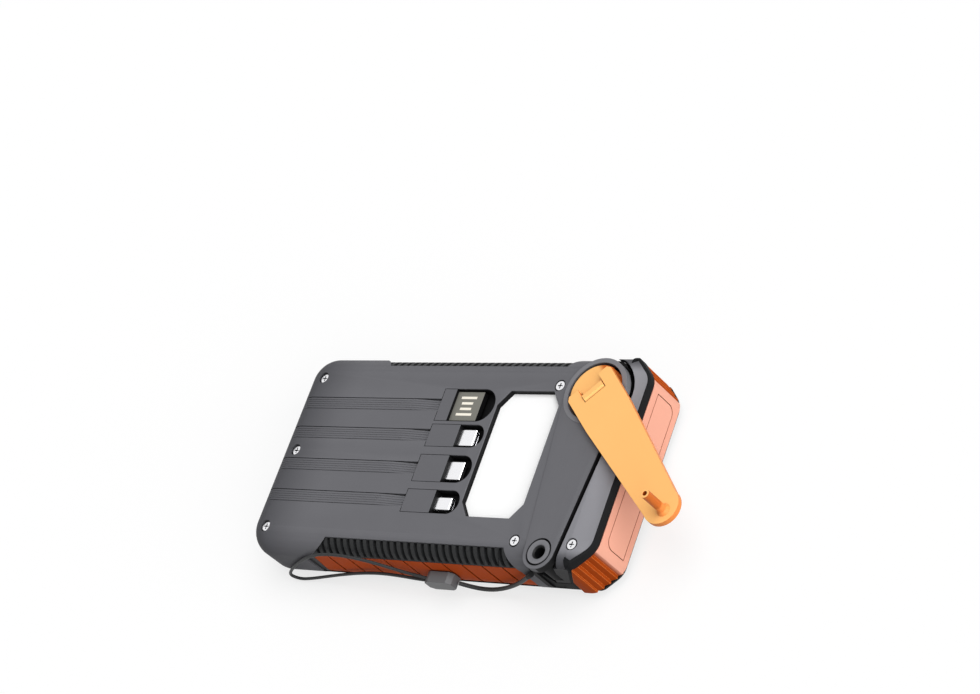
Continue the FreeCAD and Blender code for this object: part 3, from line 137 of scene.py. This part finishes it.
def make_lamp(name, strength, softness, towards):
    """A distant soft lamp in the direction given."""
    lamp_data = bpy.data.lights.new(name, "SUN")
    lamp_data.energy = strength
    lamp_data.angle = math.radians(softness)
    lamp = bpy.data.objects.new(name, lamp_data)
    lamp.rotation_euler = Vector(towards).to_track_quat("Z", "Y").to_euler()
    bpy.context.scene.collection.objects.link(lamp)


def make_floor():
    """White paper: it shows white, keeps the charger's shadow, and bounces little light."""
    mesh = bpy.data.meshes.new("floor")
    corners = [(-FLOOR_HALF, -FLOOR_HALF, 0), (FLOOR_HALF, -FLOOR_HALF, 0),
               (FLOOR_HALF, FLOOR_HALF, 0), (-FLOOR_HALF, FLOOR_HALF, 0)]
    mesh.from_pydata(corners, [], [(0, 1, 2, 3)])
    floor = bpy.data.objects.new("floor", mesh)
    bpy.context.scene.collection.objects.link(floor)
    paper = bpy.data.materials.new("paper")
    paper.use_nodes = True
    tree = paper.node_tree
    shader = tree.nodes["Principled BSDF"]
    shader.inputs["Roughness"].default_value = FLOOR_ROUGHNESS
    shader.inputs["Specular IOR Level"].default_value = 0.0
    seen = seen_ray(tree)
    shade = add(tree, "ShaderNodeMapRange", To_Min=FLOOR_BOUNCE, To_Max=FLOOR_SEEN)
    tree.links.new(seen, shade.inputs["Value"])
    tree.links.new(shade.outputs[0], shader.inputs["Base Color"])
    glow = add(tree, "ShaderNodeEmission", Color=(1, 1, 1, 1), Strength=1.0)
    mix = tree.nodes.new("ShaderNodeMixShader")
    tree.links.new(math_node(tree, "MULTIPLY", seen, FLOOR_GLOW), mix.inputs[0])
    tree.links.new(shader.outputs[0], mix.inputs[1])
    tree.links.new(glow.outputs[0], mix.inputs[2])
    tree.links.new(mix.outputs[0], tree.nodes["Material Output"].inputs["Surface"])
    mesh.materials.append(paper)


make_world()
for name, (strength, softness, towards) in LAMPS.items():
    make_lamp(name, strength, softness, towards)
make_floor()
bpy.context.scene.view_settings.view_transform = "Standard"


# ---------------------------------------------------------------- materials

def position(tree):
    """Object coordinates, in metres of the shared frame."""
    return tree.nodes.new("ShaderNodeTexCoord").outputs["Object"]


def coordinate(tree, where, axis):
    """One coordinate of a point, in millimetres."""
    split = tree.nodes.new("ShaderNodeSeparateXYZ")
    tree.links.new(where, split.inputs[0])
    return math_node(tree, "MULTIPLY", split.outputs[axis], 1.0 / MM)


def step_up(tree, value, low, high):
    """0 below low, 1 above high, a smooth slope between."""
    ramp = add(tree, "ShaderNodeMapRange", From_Min=low, From_Max=high, To_Min=0.0, To_Max=1.0)
    ramp.interpolation_type = "SMOOTHSTEP"
    tree.links.new(value, ramp.inputs["Value"])
    return ramp.outputs["Result"]


def mixed(tree, factor, first, second):
    """A colour between two colours or sockets."""
    node = tree.nodes.new("ShaderNodeMix")
    node.data_type = "RGBA"
    for name, value in (("Factor", factor), ("A", first), ("B", second)):
        if isinstance(value, (int, float, tuple, list)):
            node.inputs[name].default_value = value
        else:
            tree.links.new(value, node.inputs[name])
    return node.outputs["Result"]


def paler(colour):
    """The colour of worn edges."""
    return tuple(min(1.0, channel * 1.5 + 0.08) for channel in colour[:3]) + (1.0,)


# Painted shade: the blacks that creases and recesses are darkened towards.
CREASE_SHADE_BLACK = (0.002, 0.002, 0.002, 1.0)
METAL_RECESS_SHADE = (0.01, 0.01, 0.01, 1.0)
WEAR_FROM, WEAR_FULL = 0.52, 0.62  # pointiness of a convex edge
CLOUD_SCALE = 90.0
ROUGHNESS_SPREAD = 0.06
GRAIN_DEPTH_MM = 0.03
SMUDGE_SCALE = 700.0
SCRATCH_STRENGTH, SCRATCH_DEPTH_MM = 0.12, 0.02
METAL_CREASE_MM = 0.8


def moulded(name, colour, roughness=0.5, grain=0.25, grain_mm=0.35, mottle=0.04, specular=0.3,
            edge=0.12, soft_mm=0.2, crease_mm=1.6, crease=0.85, crease_to=CREASE_SHADE_BLACK,
            dress=None):
    """Moulded plastic or rubber: spark-eroded grain, mottling, worn edges and painted shade in
    creases.

    dress(tree, where, colour) may repaint the colour by place; the dresses here paint shade and
    highlights.
    """
    material = bpy.data.materials.new(name)
    material.use_nodes = True
    tree = material.node_tree
    links = tree.links
    shader = tree.nodes["Principled BSDF"]
    shader.inputs["Specular IOR Level"].default_value = specular
    where = position(tree)

    geometry = tree.nodes.new("ShaderNodeNewGeometry")
    worn = add(tree, "ShaderNodeMapRange", From_Min=WEAR_FROM, From_Max=WEAR_FULL,
               To_Min=0.0, To_Max=edge)
    links.new(geometry.outputs["Pointiness"], worn.inputs["Value"])
    painted = mixed(tree, worn.outputs["Result"], colour, paler(colour))
    if dress:
        painted = dress(tree, where, painted)
    cloud = add(tree, "ShaderNodeTexNoise", Scale=CLOUD_SCALE, Detail=3.0, Roughness=0.6)
    links.new(where, cloud.inputs["Vector"])
    shade = add(tree, "ShaderNodeMapRange", To_Min=1.0 - mottle, To_Max=1.0 + mottle)
    links.new(cloud.outputs["Fac"], shade.inputs["Value"])
    tint = tree.nodes.new("ShaderNodeVectorMath")
    tint.operation = "SCALE"
    links.new(painted, tint.inputs[0])
    links.new(shade.outputs["Result"], tint.inputs["Scale"])

    # Painted shade: ambient occlusion darkens the colour in creases towards crease_to.
    hollow = add(tree, "ShaderNodeAmbientOcclusion", Distance=crease_mm * MM)
    hollow.samples = 6
    shut = add(tree, "ShaderNodeMapRange", From_Min=0.25, From_Max=0.8, To_Min=crease,
               To_Max=0.0)
    links.new(hollow.outputs["AO"], shut.inputs["Value"])
    dark = mixed(tree, shut.outputs["Result"], tint.outputs["Vector"], crease_to)
    links.new(dark, shader.inputs["Base Color"])

    fine = add(tree, "ShaderNodeTexNoise", Scale=1.0 / (grain_mm * MM), Detail=2.0)
    links.new(where, fine.inputs["Vector"])
    rough = add(tree, "ShaderNodeMapRange", To_Min=roughness - ROUGHNESS_SPREAD,
                To_Max=roughness + ROUGHNESS_SPREAD)
    links.new(fine.outputs["Fac"], rough.inputs["Value"])
    links.new(rough.outputs["Result"], shader.inputs["Roughness"])
    bump = add(tree, "ShaderNodeBump", Strength=grain,
               Distance=GRAIN_DEPTH_MM * MM)
    links.new(fine.outputs["Fac"], bump.inputs["Height"])
    if soft_mm:
        soft = add(tree, "ShaderNodeBevel", Radius=soft_mm * MM)
        soft.samples = 4
        links.new(soft.outputs["Normal"], bump.inputs["Normal"])
    links.new(bump.outputs["Normal"], shader.inputs["Normal"])
    return material


def metal(name, colour, roughness=0.22, brushed=0.0, crease=0.0):
    """Plated or turned metal with faint directional scratches, smudges and painted shade in
    recesses.
    """
    material = bpy.data.materials.new(name)
    material.use_nodes = True
    tree = material.node_tree
    links = tree.links
    shader = tree.nodes["Principled BSDF"]
    shader.inputs["Base Color"].default_value = colour
    shader.inputs["Metallic"].default_value = 1.0
    where = position(tree)
    if crease:
        # Painted shade: ambient occlusion darkens the colour in recesses.
        hollow = add(tree, "ShaderNodeAmbientOcclusion", Distance=METAL_CREASE_MM * MM)
        hollow.samples = 8
        shut = add(tree, "ShaderNodeMapRange", From_Min=0.3, From_Max=0.75, To_Min=crease,
                   To_Max=0.0)
        links.new(hollow.outputs["AO"], shut.inputs["Value"])
        links.new(mixed(tree, shut.outputs["Result"], colour, METAL_RECESS_SHADE),
                  shader.inputs["Base Color"])
    stretch = add(tree, "ShaderNodeMapping", Scale=(1.0, 1.0 + 12.0 * brushed, 1.0))
    links.new(where, stretch.inputs["Vector"])
    smudge = add(tree, "ShaderNodeTexNoise", Scale=SMUDGE_SCALE, Detail=4.0)
    links.new(stretch.outputs["Vector"], smudge.inputs["Vector"])
    rough = add(tree, "ShaderNodeMapRange", To_Min=roughness - 0.08, To_Max=roughness + 0.1)
    links.new(smudge.outputs["Fac"], rough.inputs["Value"])
    links.new(rough.outputs["Result"], shader.inputs["Roughness"])
    bump = add(tree, "ShaderNodeBump", Strength=SCRATCH_STRENGTH,
               Distance=SCRATCH_DEPTH_MM * MM)
    links.new(smudge.outputs["Fac"], bump.inputs["Height"])
    links.new(bump.outputs["Normal"], shader.inputs["Normal"])
    return material


# ---------------------------------------------------------------- colour by place: painted shade and highlights

# Places and reaches are in millimetres of the shared frame.
# Black painted where shade falls: in the cover's hollows, the socket's hole and the plugs' end
# faces.
PAINTED_SHADE_BLACK = (0.004, 0.004, 0.0045, 1.0)
BORDER_SOFT = 0.4
# Painted shade for the rounded left end of the cover and the leads.
COVER_LEFT_SHADE = srgb(66, 66, 70)
LEFT_FADE = (-86.0, -50.0)
# Each place of the rear cover painted black as shade, as its spans of x, y and z.
PAINTED_SHADE_PLACES = [
    ((55.0, 90.0), (-60.0, -34.6), (-5.0, 24.4)),  # under the boss rim
    ((63.2, 90.0), (-60.0, 60.0), (-5.0, 26.4)),  # beside the end block
    ((-9.0, 18.6), (-25.5, 27.0), (10.0, 25.9)),  # in the plug wells
    ((18.8, 48.2), (-26.0, 26.4), (10.0, 26.1)),  # in the lamp opening
]
BOSS_AT = (62.0, -37.5)
BORE_EDGE = (2.5, 2.9)
EDGE_BEND = (0.93, 0.995)  # cosine between the true and the rounded normal
RIDGE_REACH = 0.3
# Painted shade on the port cover's corners and painted highlights on their ridges.
CORNER_SHADE_ORANGE, RIDGE_HIGHLIGHT_ORANGE = srgb(172, 70, 14), srgb(236, 132, 66)
CORNER_FROM = (33.4, 34.4)
KNOB_FROM = (32.6, 33.8)
# Painted shade: deeper oranges for the crank's side faces, the knob's flank and the hub beside
# the arm.
SIDE_SHADE_ORANGE, KNOB_SHADE_ORANGE, RIM_SHADE_ORANGE = srgb(250, 150, 76), srgb(216, 112, 42), srgb(205, 104, 34)
# Painted shade for the end block's sides and rounded-over edges.
END_SIDE_SHADE_GREY, END_EDGE_SHADE_GREY = srgb(30, 30, 32), srgb(84, 84, 88)
END_EDGE_FADE, END_SIDE_FADE = (34.5, 39.0), (20.0, 25.4)
PIVOT_AT = (62.0, 25.9)
ACROSS_ARM = (0.690, 0.724)
RIM_FADE = (5.0, 7.5)


def inside(tree, where, spans):
    """1 inside a box given by its spans of x, y and z, 0 outside it."""
    mask = None
    for axis, (low, high) in enumerate(spans):
        value = coordinate(tree, where, axis)
        inner = math_node(tree, "MULTIPLY", step_up(tree, value, low - BORDER_SOFT, low),
                          math_node(tree, "SUBTRACT", 1.0,
                                    step_up(tree, value, high, high + BORDER_SOFT)))
        mask = inner if mask is None else math_node(tree, "MULTIPLY", mask, inner)
    return mask


def left_end_painted_shade(tree, where, colour):
    """Painted shade: the grey is painted deeper towards the rounded left end."""
    return mixed(tree, step_up(tree, coordinate(tree, where, 0), *LEFT_FADE), COVER_LEFT_SHADE,
                 colour)


def cover_painted_shade(tree, where, colour):
    """Painted shade: the cover is painted black under the boss rim, beside the end block and down
    in its openings, where shade falls.
    """
    masks = [inside(tree, where, spans) for spans in PAINTED_SHADE_PLACES]
    mask = masks[0]
    for other in masks[1:]:
        mask = math_node(tree, "MAXIMUM", mask, other)
    return mixed(tree, mask, left_end_painted_shade(tree, where, colour), PAINTED_SHADE_BLACK)


def offsets(tree, where, place):
    """How far a point lies from a place, along X and along Y."""
    return [math_node(tree, "SUBTRACT", coordinate(tree, where, axis), place[axis])
            for axis in (0, 1)]


def bore_painted_shade(tree, where, colour):
    """Painted shade: black inside the socket's hole."""
    off_x, off_y = offsets(tree, where, BOSS_AT)
    reach = math_node(tree, "SQRT", math_node(
        tree, "ADD", math_node(tree, "MULTIPLY", off_x, off_x),
        math_node(tree, "MULTIPLY", off_y, off_y)))
    return mixed(tree, step_up(tree, reach, *BORE_EDGE), PAINTED_SHADE_BLACK, colour)


def near_edge(tree, reach_mm):
    """1 on a sharp edge, 0 where the surface is flat for a reach around."""
    soft = add(tree, "ShaderNodeBevel", Radius=reach_mm * MM)
    soft.samples = 8
    bend = tree.nodes.new("ShaderNodeVectorMath")
    bend.operation = "DOT_PRODUCT"
    tree.links.new(soft.outputs["Normal"], bend.inputs[0])
    geometry = tree.nodes.new("ShaderNodeNewGeometry")
    tree.links.new(geometry.outputs["True Normal"], bend.inputs[1])
    return math_node(tree, "SUBTRACT", 1.0,
                     step_up(tree, bend.outputs["Value"], *EDGE_BEND))


def cap_painted_shade_and_highlights(tree, where, colour):
    """Pale salmon on the end face; painted shade turns the corners deep orange, with painted
    highlights on their ridges.
    """
    y = math_node(tree, "ABSOLUTE", coordinate(tree, where, 1))
    corner = mixed(tree, near_edge(tree, RIDGE_REACH), CORNER_SHADE_ORANGE, RIDGE_HIGHLIGHT_ORANGE)
    return mixed(tree, step_up(tree, y, *CORNER_FROM), colour, corner)


def facing(tree, axis):
    """One component of the surface normal in the piece's own frame."""
    normal = tree.nodes.new("ShaderNodeSeparateXYZ")
    tree.links.new(tree.nodes.new("ShaderNodeTexCoord").outputs["Normal"], normal.inputs[0])
    return normal.outputs[axis]


def end_faces_painted_shade(tree, where, colour):
    """Painted shade: a plug's end faces, inside its well, are painted black."""
    return mixed(tree, step_up(tree, facing(tree, 0), 0.6, 0.9), colour, PAINTED_SHADE_BLACK)


def crank_sides_painted_shade(tree, where, colour):
    """Painted shade: the crank's side faces and the knob's flank are painted a deeper orange than
    its flat top.
    """
    z = coordinate(tree, where, 2)
    side = mixed(tree, step_up(tree, z, *KNOB_FROM), SIDE_SHADE_ORANGE, KNOB_SHADE_ORANGE)
    return mixed(tree, step_up(tree, facing(tree, 2), 0.5, 0.85), side, colour)


def end_block_painted_shade(tree, where, colour):
    """Painted shade: the end block is painted darker towards its rounded-over edges and down its
    sides.
    """
    z = coordinate(tree, where, 2)
    y = math_node(tree, "ABSOLUTE", coordinate(tree, where, 1))
    top = mixed(tree, step_up(tree, y, *END_EDGE_FADE), colour, END_EDGE_SHADE_GREY)
    return mixed(tree, step_up(tree, z, *END_SIDE_FADE), END_SIDE_SHADE_GREY, top)


def hub_rim_painted_shade(tree, where, colour):
    """Painted shade: the hub beside the arm is painted a deeper orange."""
    off_x, off_y = offsets(tree, where, PIVOT_AT)
    across = math_node(tree, "ADD", math_node(tree, "MULTIPLY", off_x, ACROSS_ARM[0]),
                       math_node(tree, "MULTIPLY", off_y, ACROSS_ARM[1]))
    return mixed(tree, step_up(tree, across, *RIM_FADE), colour, RIM_SHADE_ORANGE)


# ---------------------------------------------------------------- the materials of the pieces

ORANGE_SHADE = srgb(150, 62, 14)

MATERIALS = {
    "cover_grey": moulded("cover_grey", srgb(101, 101, 105), 0.6, edge=0.15, specular=0.12,
                          soft_mm=0.12, dress=cover_painted_shade),
    "ring_grey": moulded("ring_grey", srgb(99, 99, 103), 0.5, edge=0.45, specular=0.2,
                         dress=bore_painted_shade),
    "end_grey": moulded("end_grey", srgb(133, 133, 138), 0.5, edge=0.15, specular=0.1,
                        dress=end_block_painted_shade),
    "shell_black": moulded("shell_black", srgb(21, 22, 23), 0.55, specular=0.05, crease=0.5),
    "grip_black": moulded("grip_black", srgb(35, 36, 37), 0.5, specular=0.15, crease=0.5),
    "gasket_black": moulded("gasket_black", srgb(16, 17, 19), 0.6, specular=0.04),
    "cap_orange": moulded("cap_orange", srgb(243, 173, 149), 0.6, mottle=0.03, edge=0.06,
                          specular=0.08, crease_to=ORANGE_SHADE, dress=cap_painted_shade_and_highlights),
    "strip_orange": moulded("strip_orange", srgb(192, 77, 20), 0.6, mottle=0.04, edge=0.05,
                            specular=0.08),
    "crank_orange": moulded("crank_orange", srgb(255, 190, 114), 0.45, mottle=0.02, edge=0.05,
                            specular=0.2, crease=0.9, crease_mm=2.6, crease_to=ORANGE_SHADE,
                            dress=crank_sides_painted_shade),
    "hub_orange": moulded("hub_orange", srgb(255, 190, 114), 0.45, mottle=0.03, edge=0.05,
                          specular=0.2, crease_to=ORANGE_SHADE, dress=hub_rim_painted_shade),
    "lamp_white": moulded("lamp_white", srgb(255, 255, 255), 0.6, grain=0.1, mottle=0.004,
                          edge=0.0, crease=0.0),
    "plug_grey": moulded("plug_grey", srgb(92, 92, 96), 0.55, edge=0.15, crease_mm=0.8,
                         specular=0.12, soft_mm=0.1, dress=end_faces_painted_shade),
    "lead_rubber": moulded("lead_rubber", srgb(99, 99, 103), 0.6, grain=0.15, edge=0.05,
                           specular=0.2, crease_mm=0.4, crease=0.6, soft_mm=0.0,
                           dress=left_end_painted_shade),
    "tongue_grey": moulded("tongue_grey", srgb(113, 112, 105), 0.45, edge=0.1, crease=0.4,
                           dress=end_faces_painted_shade),
    "bead_rubber": moulded("bead_rubber", srgb(78, 79, 81), 0.4, edge=0.3, crease=0.3),
    "cord_fabric": moulded("cord_fabric", srgb(40, 41, 42), 0.55, grain=1.0, grain_mm=0.5,
                           mottle=0.25, edge=0.0, soft_mm=0.0, crease=0.0),
    "gear_nylon": moulded("gear_nylon", srgb(232, 230, 220), 0.45),
    "board_green": moulded("board_green", srgb(30, 96, 58), 0.35, mottle=0.1),
    "led_yellow": moulded("led_yellow", srgb(244, 220, 90), 0.3),
    "solar_blue": moulded("solar_blue", srgb(22, 26, 42), 0.25, mottle=0.15, specular=0.6),
    "lens_clear": moulded("lens_clear", srgb(214, 224, 226), 0.15, specular=0.6),
    "plug_metal": metal("plug_metal", (0.88, 0.88, 0.9, 1), 0.2, crease=0.9),
    "contact_gold": metal("contact_gold", (0.93, 0.88, 0.77, 1), 0.35),
    "screw_steel": metal("screw_steel", (0.86, 0.86, 0.88, 1), 0.24, crease=0.97),
    "rotor_steel": metal("rotor_steel", (0.5, 0.5, 0.52, 1), 0.35, brushed=1.0),
    "plate_aluminium": metal("plate_aluminium", (0.8, 0.8, 0.82, 1), 0.35, brushed=1.0),
    "cell_foil": metal("cell_foil", (0.75, 0.77, 0.8, 1), 0.35),
}
SLOT_OF = {entry["node"]: entry["material_slot"] for entry in frame["record"]["subparts"]}
# The lanyard ferrule takes the shell's black as painted shade, for the shade under the boss.
OWN_MATERIAL = {"crank_hub": "hub_orange", "grip_ribs_far": "grip_black",
                "grip_ribs_near": "grip_black", "lanyard_ferrule": "shell_black"}
for node, obj in frame["nodes"].items():
    obj.data.materials.clear()
    obj.data.materials.append(MATERIALS[OWN_MATERIAL.get(node) or SLOT_OF[node]])


# ---------------------------------------------------------------- wrist cord

TAIL_RADIUS, LOOP_RADIUS = 0.8, 0.6
CURVE_STEPS, ROUND_CORNERS = 12, 5
TAIL_ROUTE = [
    (54.3, -43.4, 18.9),
    (49.0, -43.4, 14.8),
    (42.5, -43.3, 10.5),
    (34.5, -43.2, 6.4),
    (26.5, -43.2, 4.2),
    (19.5, -43.4, 5.6),
    (15.15, -43.6, 9.1),
]
LOOP_ROUTE = [
    (1.8, -43.5, 11.4),
    (-5.5, -43.2, 13.6),
    (-13.5, -42.8, 17.4),
    (-22.5, -42.4, 21.2),
    (-32.5, -42.3, 23.8),
    (-43.0, -42.5, 23.9),
    (-53.0, -43.0, 20.0),
    (-62.0, -43.2, 14.2),
    (-69.5, -43.3, 8.6),
    (-73.0, -43.4, 4.6),
    (-69.8, -43.4, 1.7),
    (-63.0, -43.2, 2.6),
    (-53.5, -43.0, 5.0),
    (-43.0, -42.8, 7.6),
    (-32.0, -42.6, 9.7),
    (-21.5, -42.7, 10.9),
    (-11.5, -43.1, 10.6),
    (-4.0, -43.4, 9.6),
    (1.8, -43.5, 9.2),
]


def cord_curve(name, route, radius):
    """A round cord on one smooth spline whose control points are the route."""
    curve = bpy.data.curves.new(name, "CURVE")
    curve.dimensions = "3D"
    curve.resolution_u = CURVE_STEPS
    curve.bevel_depth = radius * MM
    curve.bevel_resolution = ROUND_CORNERS
    curve.use_fill_caps = True
    spline = curve.splines.new("NURBS")
    spline.points.add(len(route) - 1)
    for point, place in zip(spline.points, route):
        point.co = (*mm(*place), 1)
    spline.order_u = 3
    spline.use_endpoint_u = True
    curve.materials.append(MATERIALS["cord_fabric"])
    obj = bpy.data.objects.new(name, curve)
    bpy.context.scene.collection.objects.link(obj)
    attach(obj, "case")
    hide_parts(name.replace("_cord", ""))
    return obj


tail = cord_curve("lanyard_tail_cord", TAIL_ROUTE, TAIL_RADIUS)
loop = cord_curve("lanyard_loop_cord", LOOP_ROUTE, LOOP_RADIUS)


# ---------------------------------------------------------------- flat leads

def new_piece(name, mesh_data, body, material, replaced):
    """A bmesh as an object that rides on a body and stands for CAD nodes."""
    bmesh.ops.recalc_face_normals(mesh_data, faces=mesh_data.faces)
    mesh = bpy.data.meshes.new(name)
    mesh_data.to_mesh(mesh)
    mesh_data.free()
    mesh.materials.append(MATERIALS[material])
    obj = bpy.data.objects.new(name, mesh)
    bpy.context.scene.collection.objects.link(obj)
    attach(obj, body)
    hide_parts(*replaced)
    return obj


LANES = {"usb_a": 19.5, "micro": 6.8, "slim": -6.8, "usb_c": -20.1}  # each lead's Y
LEAD_HALF, LEAD_THICK = 2.3, 1.6
LEAD_RIBS = 5
GROOVE_DEEP, GROOVE_HALF = 0.14, 0.12
LEAD_CORNER = 0.15


def lead_section():
    """Across a flat lead: (offset, depth below its upper face), round the whole outline."""
    pitch = 2 * LEAD_HALF / LEAD_RIBS
    top = [(-LEAD_HALF, LEAD_CORNER), (-LEAD_HALF + LEAD_CORNER, 0.0)]
    for rib in range(1, LEAD_RIBS):
        middle = -LEAD_HALF + rib * pitch
        top += [(middle - GROOVE_HALF, 0.0), (middle, GROOVE_DEEP), (middle + GROOVE_HALF, 0.0)]
    top += [(LEAD_HALF - LEAD_CORNER, 0.0), (LEAD_HALF, LEAD_CORNER)]
    return top + [(LEAD_HALF, LEAD_THICK), (-LEAD_HALF, LEAD_THICK)]


def ribbed_lead(name, body, across, path, replaced):
    """A flat lead swept along a path of (x, z, down x, down z) stations in its own plane."""
    section = lead_section()
    build = bmesh.new()
    rings = []
    for x, z, down_x, down_z in path:
        rings.append([build.verts.new(mm(x + down_x * depth, across + offset,
                                         z + down_z * depth)) for offset, depth in section])
    count = len(section)
    for first, second in zip(rings, rings[1:]):
        for index in range(count):
            follow = (index + 1) % count
            build.faces.new((first[index], first[follow], second[follow], second[index]))
    build.faces.new(rings[0])
    build.faces.new(rings[-1][::-1])
    return new_piece(name, build, body, "lead_rubber", replaced)


LEAD_TOP = 26.6
LIFT_AT = -65.9
ROOT_GAP = 0.04
BEND_AT, HEAD_AT = -21.0, -8.1
BEND_HALF, BEND_SAG = 1.5, 0.03
LEAD_DIP = 1.2
ROUND_AT, ROUND_RADIUS = (-73.4, 17.6), 9.0
ROUND_STEPS = 14
for lane, across in LANES.items():
    slope = LEAD_DIP / (HEAD_AT - BEND_AT)
    run = [(LIFT_AT, LEAD_TOP, 0, -1), (BEND_AT - BEND_HALF, LEAD_TOP, 0, -1),
           (BEND_AT, LEAD_TOP - BEND_SAG, 0, -1),
           (BEND_AT + BEND_HALF, LEAD_TOP - slope * BEND_HALF, 0, -1),
           (HEAD_AT, LEAD_TOP - LEAD_DIP, 0, -1)]
    ribbed_lead(f"ribbed_lead_{lane}", f"lead_{lane}", across, run, [f"flat_cable_{lane}"])
    root = [(LIFT_AT - ROOT_GAP, LEAD_TOP, 0, -1)]
    for step in range(ROUND_STEPS + 1):
        angle = math.pi / 2 * (1 + step / ROUND_STEPS)
        root.append((ROUND_AT[0] + ROUND_RADIUS * math.cos(angle),
                     ROUND_AT[1] + ROUND_RADIUS * math.sin(angle),
                     -math.cos(angle), -math.sin(angle)))
    ribbed_lead(f"ribbed_root_{lane}", "case", across, root, [f"cable_root_{lane}"])


# ---------------------------------------------------------------- plug tips

TIP_TOP = 25.3
TIPS = {
    # name: (root X, end X, low Y, high Y, lower face, corner radius, lower chamfer)
    "micro": (5.6, 13.1, 3.4, 10.1, 23.0, 0.35, 0.7),
    "slim": (5.6, 13.0, -10.5, -2.9, 23.5, 0.6, 0.0),
    "usb_c": (5.6, 13.1, -22.8, -17.2, 22.8, 0.9, 0.0),
}
WALL, LIP, LIP_BEVEL, MOUTH_DEEP = 0.35, 0.15, 0.2, 3.6
TONGUE_SIDE_ROOM, TONGUE_HALF_THICK, TONGUE_CORNER = 1.1, 0.3, 0.1
TONGUE_SUNK, TONGUE_BACK, TONGUE_BEVEL = 0.2, 0.6, 0.1
CORNER_STEPS = 5


def tip_outline(half_across, half_high, radius, chamfer):
    """Across a plug tip: a rounded rectangle whose lower corners may be cut off."""
    points = []
    for quarter, (side, level) in enumerate(((1, 1), (-1, 1), (-1, -1), (1, -1))):
        if level < 0 and chamfer:
            cuts = [(side * (half_across - chamfer), -half_high),
                    (side * half_across, -half_high + chamfer)]
            points += cuts if side > 0 else cuts[::-1]
            continue
        for step in range(CORNER_STEPS + 1):
            angle = math.pi / 2 * (quarter + step / CORNER_STEPS)
            points.append((side * (half_across - radius) + radius * math.cos(angle),
                           level * (half_high - radius) + radius * math.sin(angle)))
    return points


def tube(build, across, middle, outline, stations):
    """A closed solid of rings: each station is an X and how far the outline is drawn in."""
    wide = max(point[0] for point in outline)
    high = max(point[1] for point in outline)
    rings = []
    for x, inset in stations:
        rings.append([build.verts.new(mm(x, across + y * (1 - inset / wide),
                                         middle + z * (1 - inset / high)))
                      for y, z in outline])
    count = len(outline)
    for first, second in zip(rings, rings[1:]):
        for index in range(count):
            follow = (index + 1) % count
            build.faces.new((first[index], first[follow], second[follow], second[index]))
    build.faces.new(rings[0][::-1])
    build.faces.new(rings[-1])


def plug_tip(lane):
    """A plug's metal tip: a hollow mouth with a tongue, or a solid tab for the slim plug."""
    root, end, low, high, under, radius, chamfer = TIPS[lane]
    half_across, half_high = (high - low) / 2, (TIP_TOP - under) / 2
    across, middle = (high + low) / 2, (TIP_TOP + under) / 2
    outline = tip_outline(half_across, half_high, radius, chamfer)
    build = bmesh.new()
    stations = [(root, 0.0), (end - LIP_BEVEL, 0.0), (end, LIP)]
    if lane != "slim":
        stations += [(end, WALL), (end - MOUTH_DEEP, WALL)]
        tongue = tip_outline(half_across - TONGUE_SIDE_ROOM, TONGUE_HALF_THICK, TONGUE_CORNER,
                             0.0)
        front = end - TONGUE_BACK
        tube(build, across, middle, tongue, [(end - MOUTH_DEEP - TONGUE_SUNK, 0.0),
                                             (front - TONGUE_BEVEL, 0.0), (front, TONGUE_BEVEL)])
    tube(build, across, middle, outline, stations)
    return new_piece(f"tip_shell_{lane}", build, f"lead_{lane}",
                     "plug_metal", [f"plug_tip_{lane}"])


for lane in TIPS:
    plug_tip(lane)
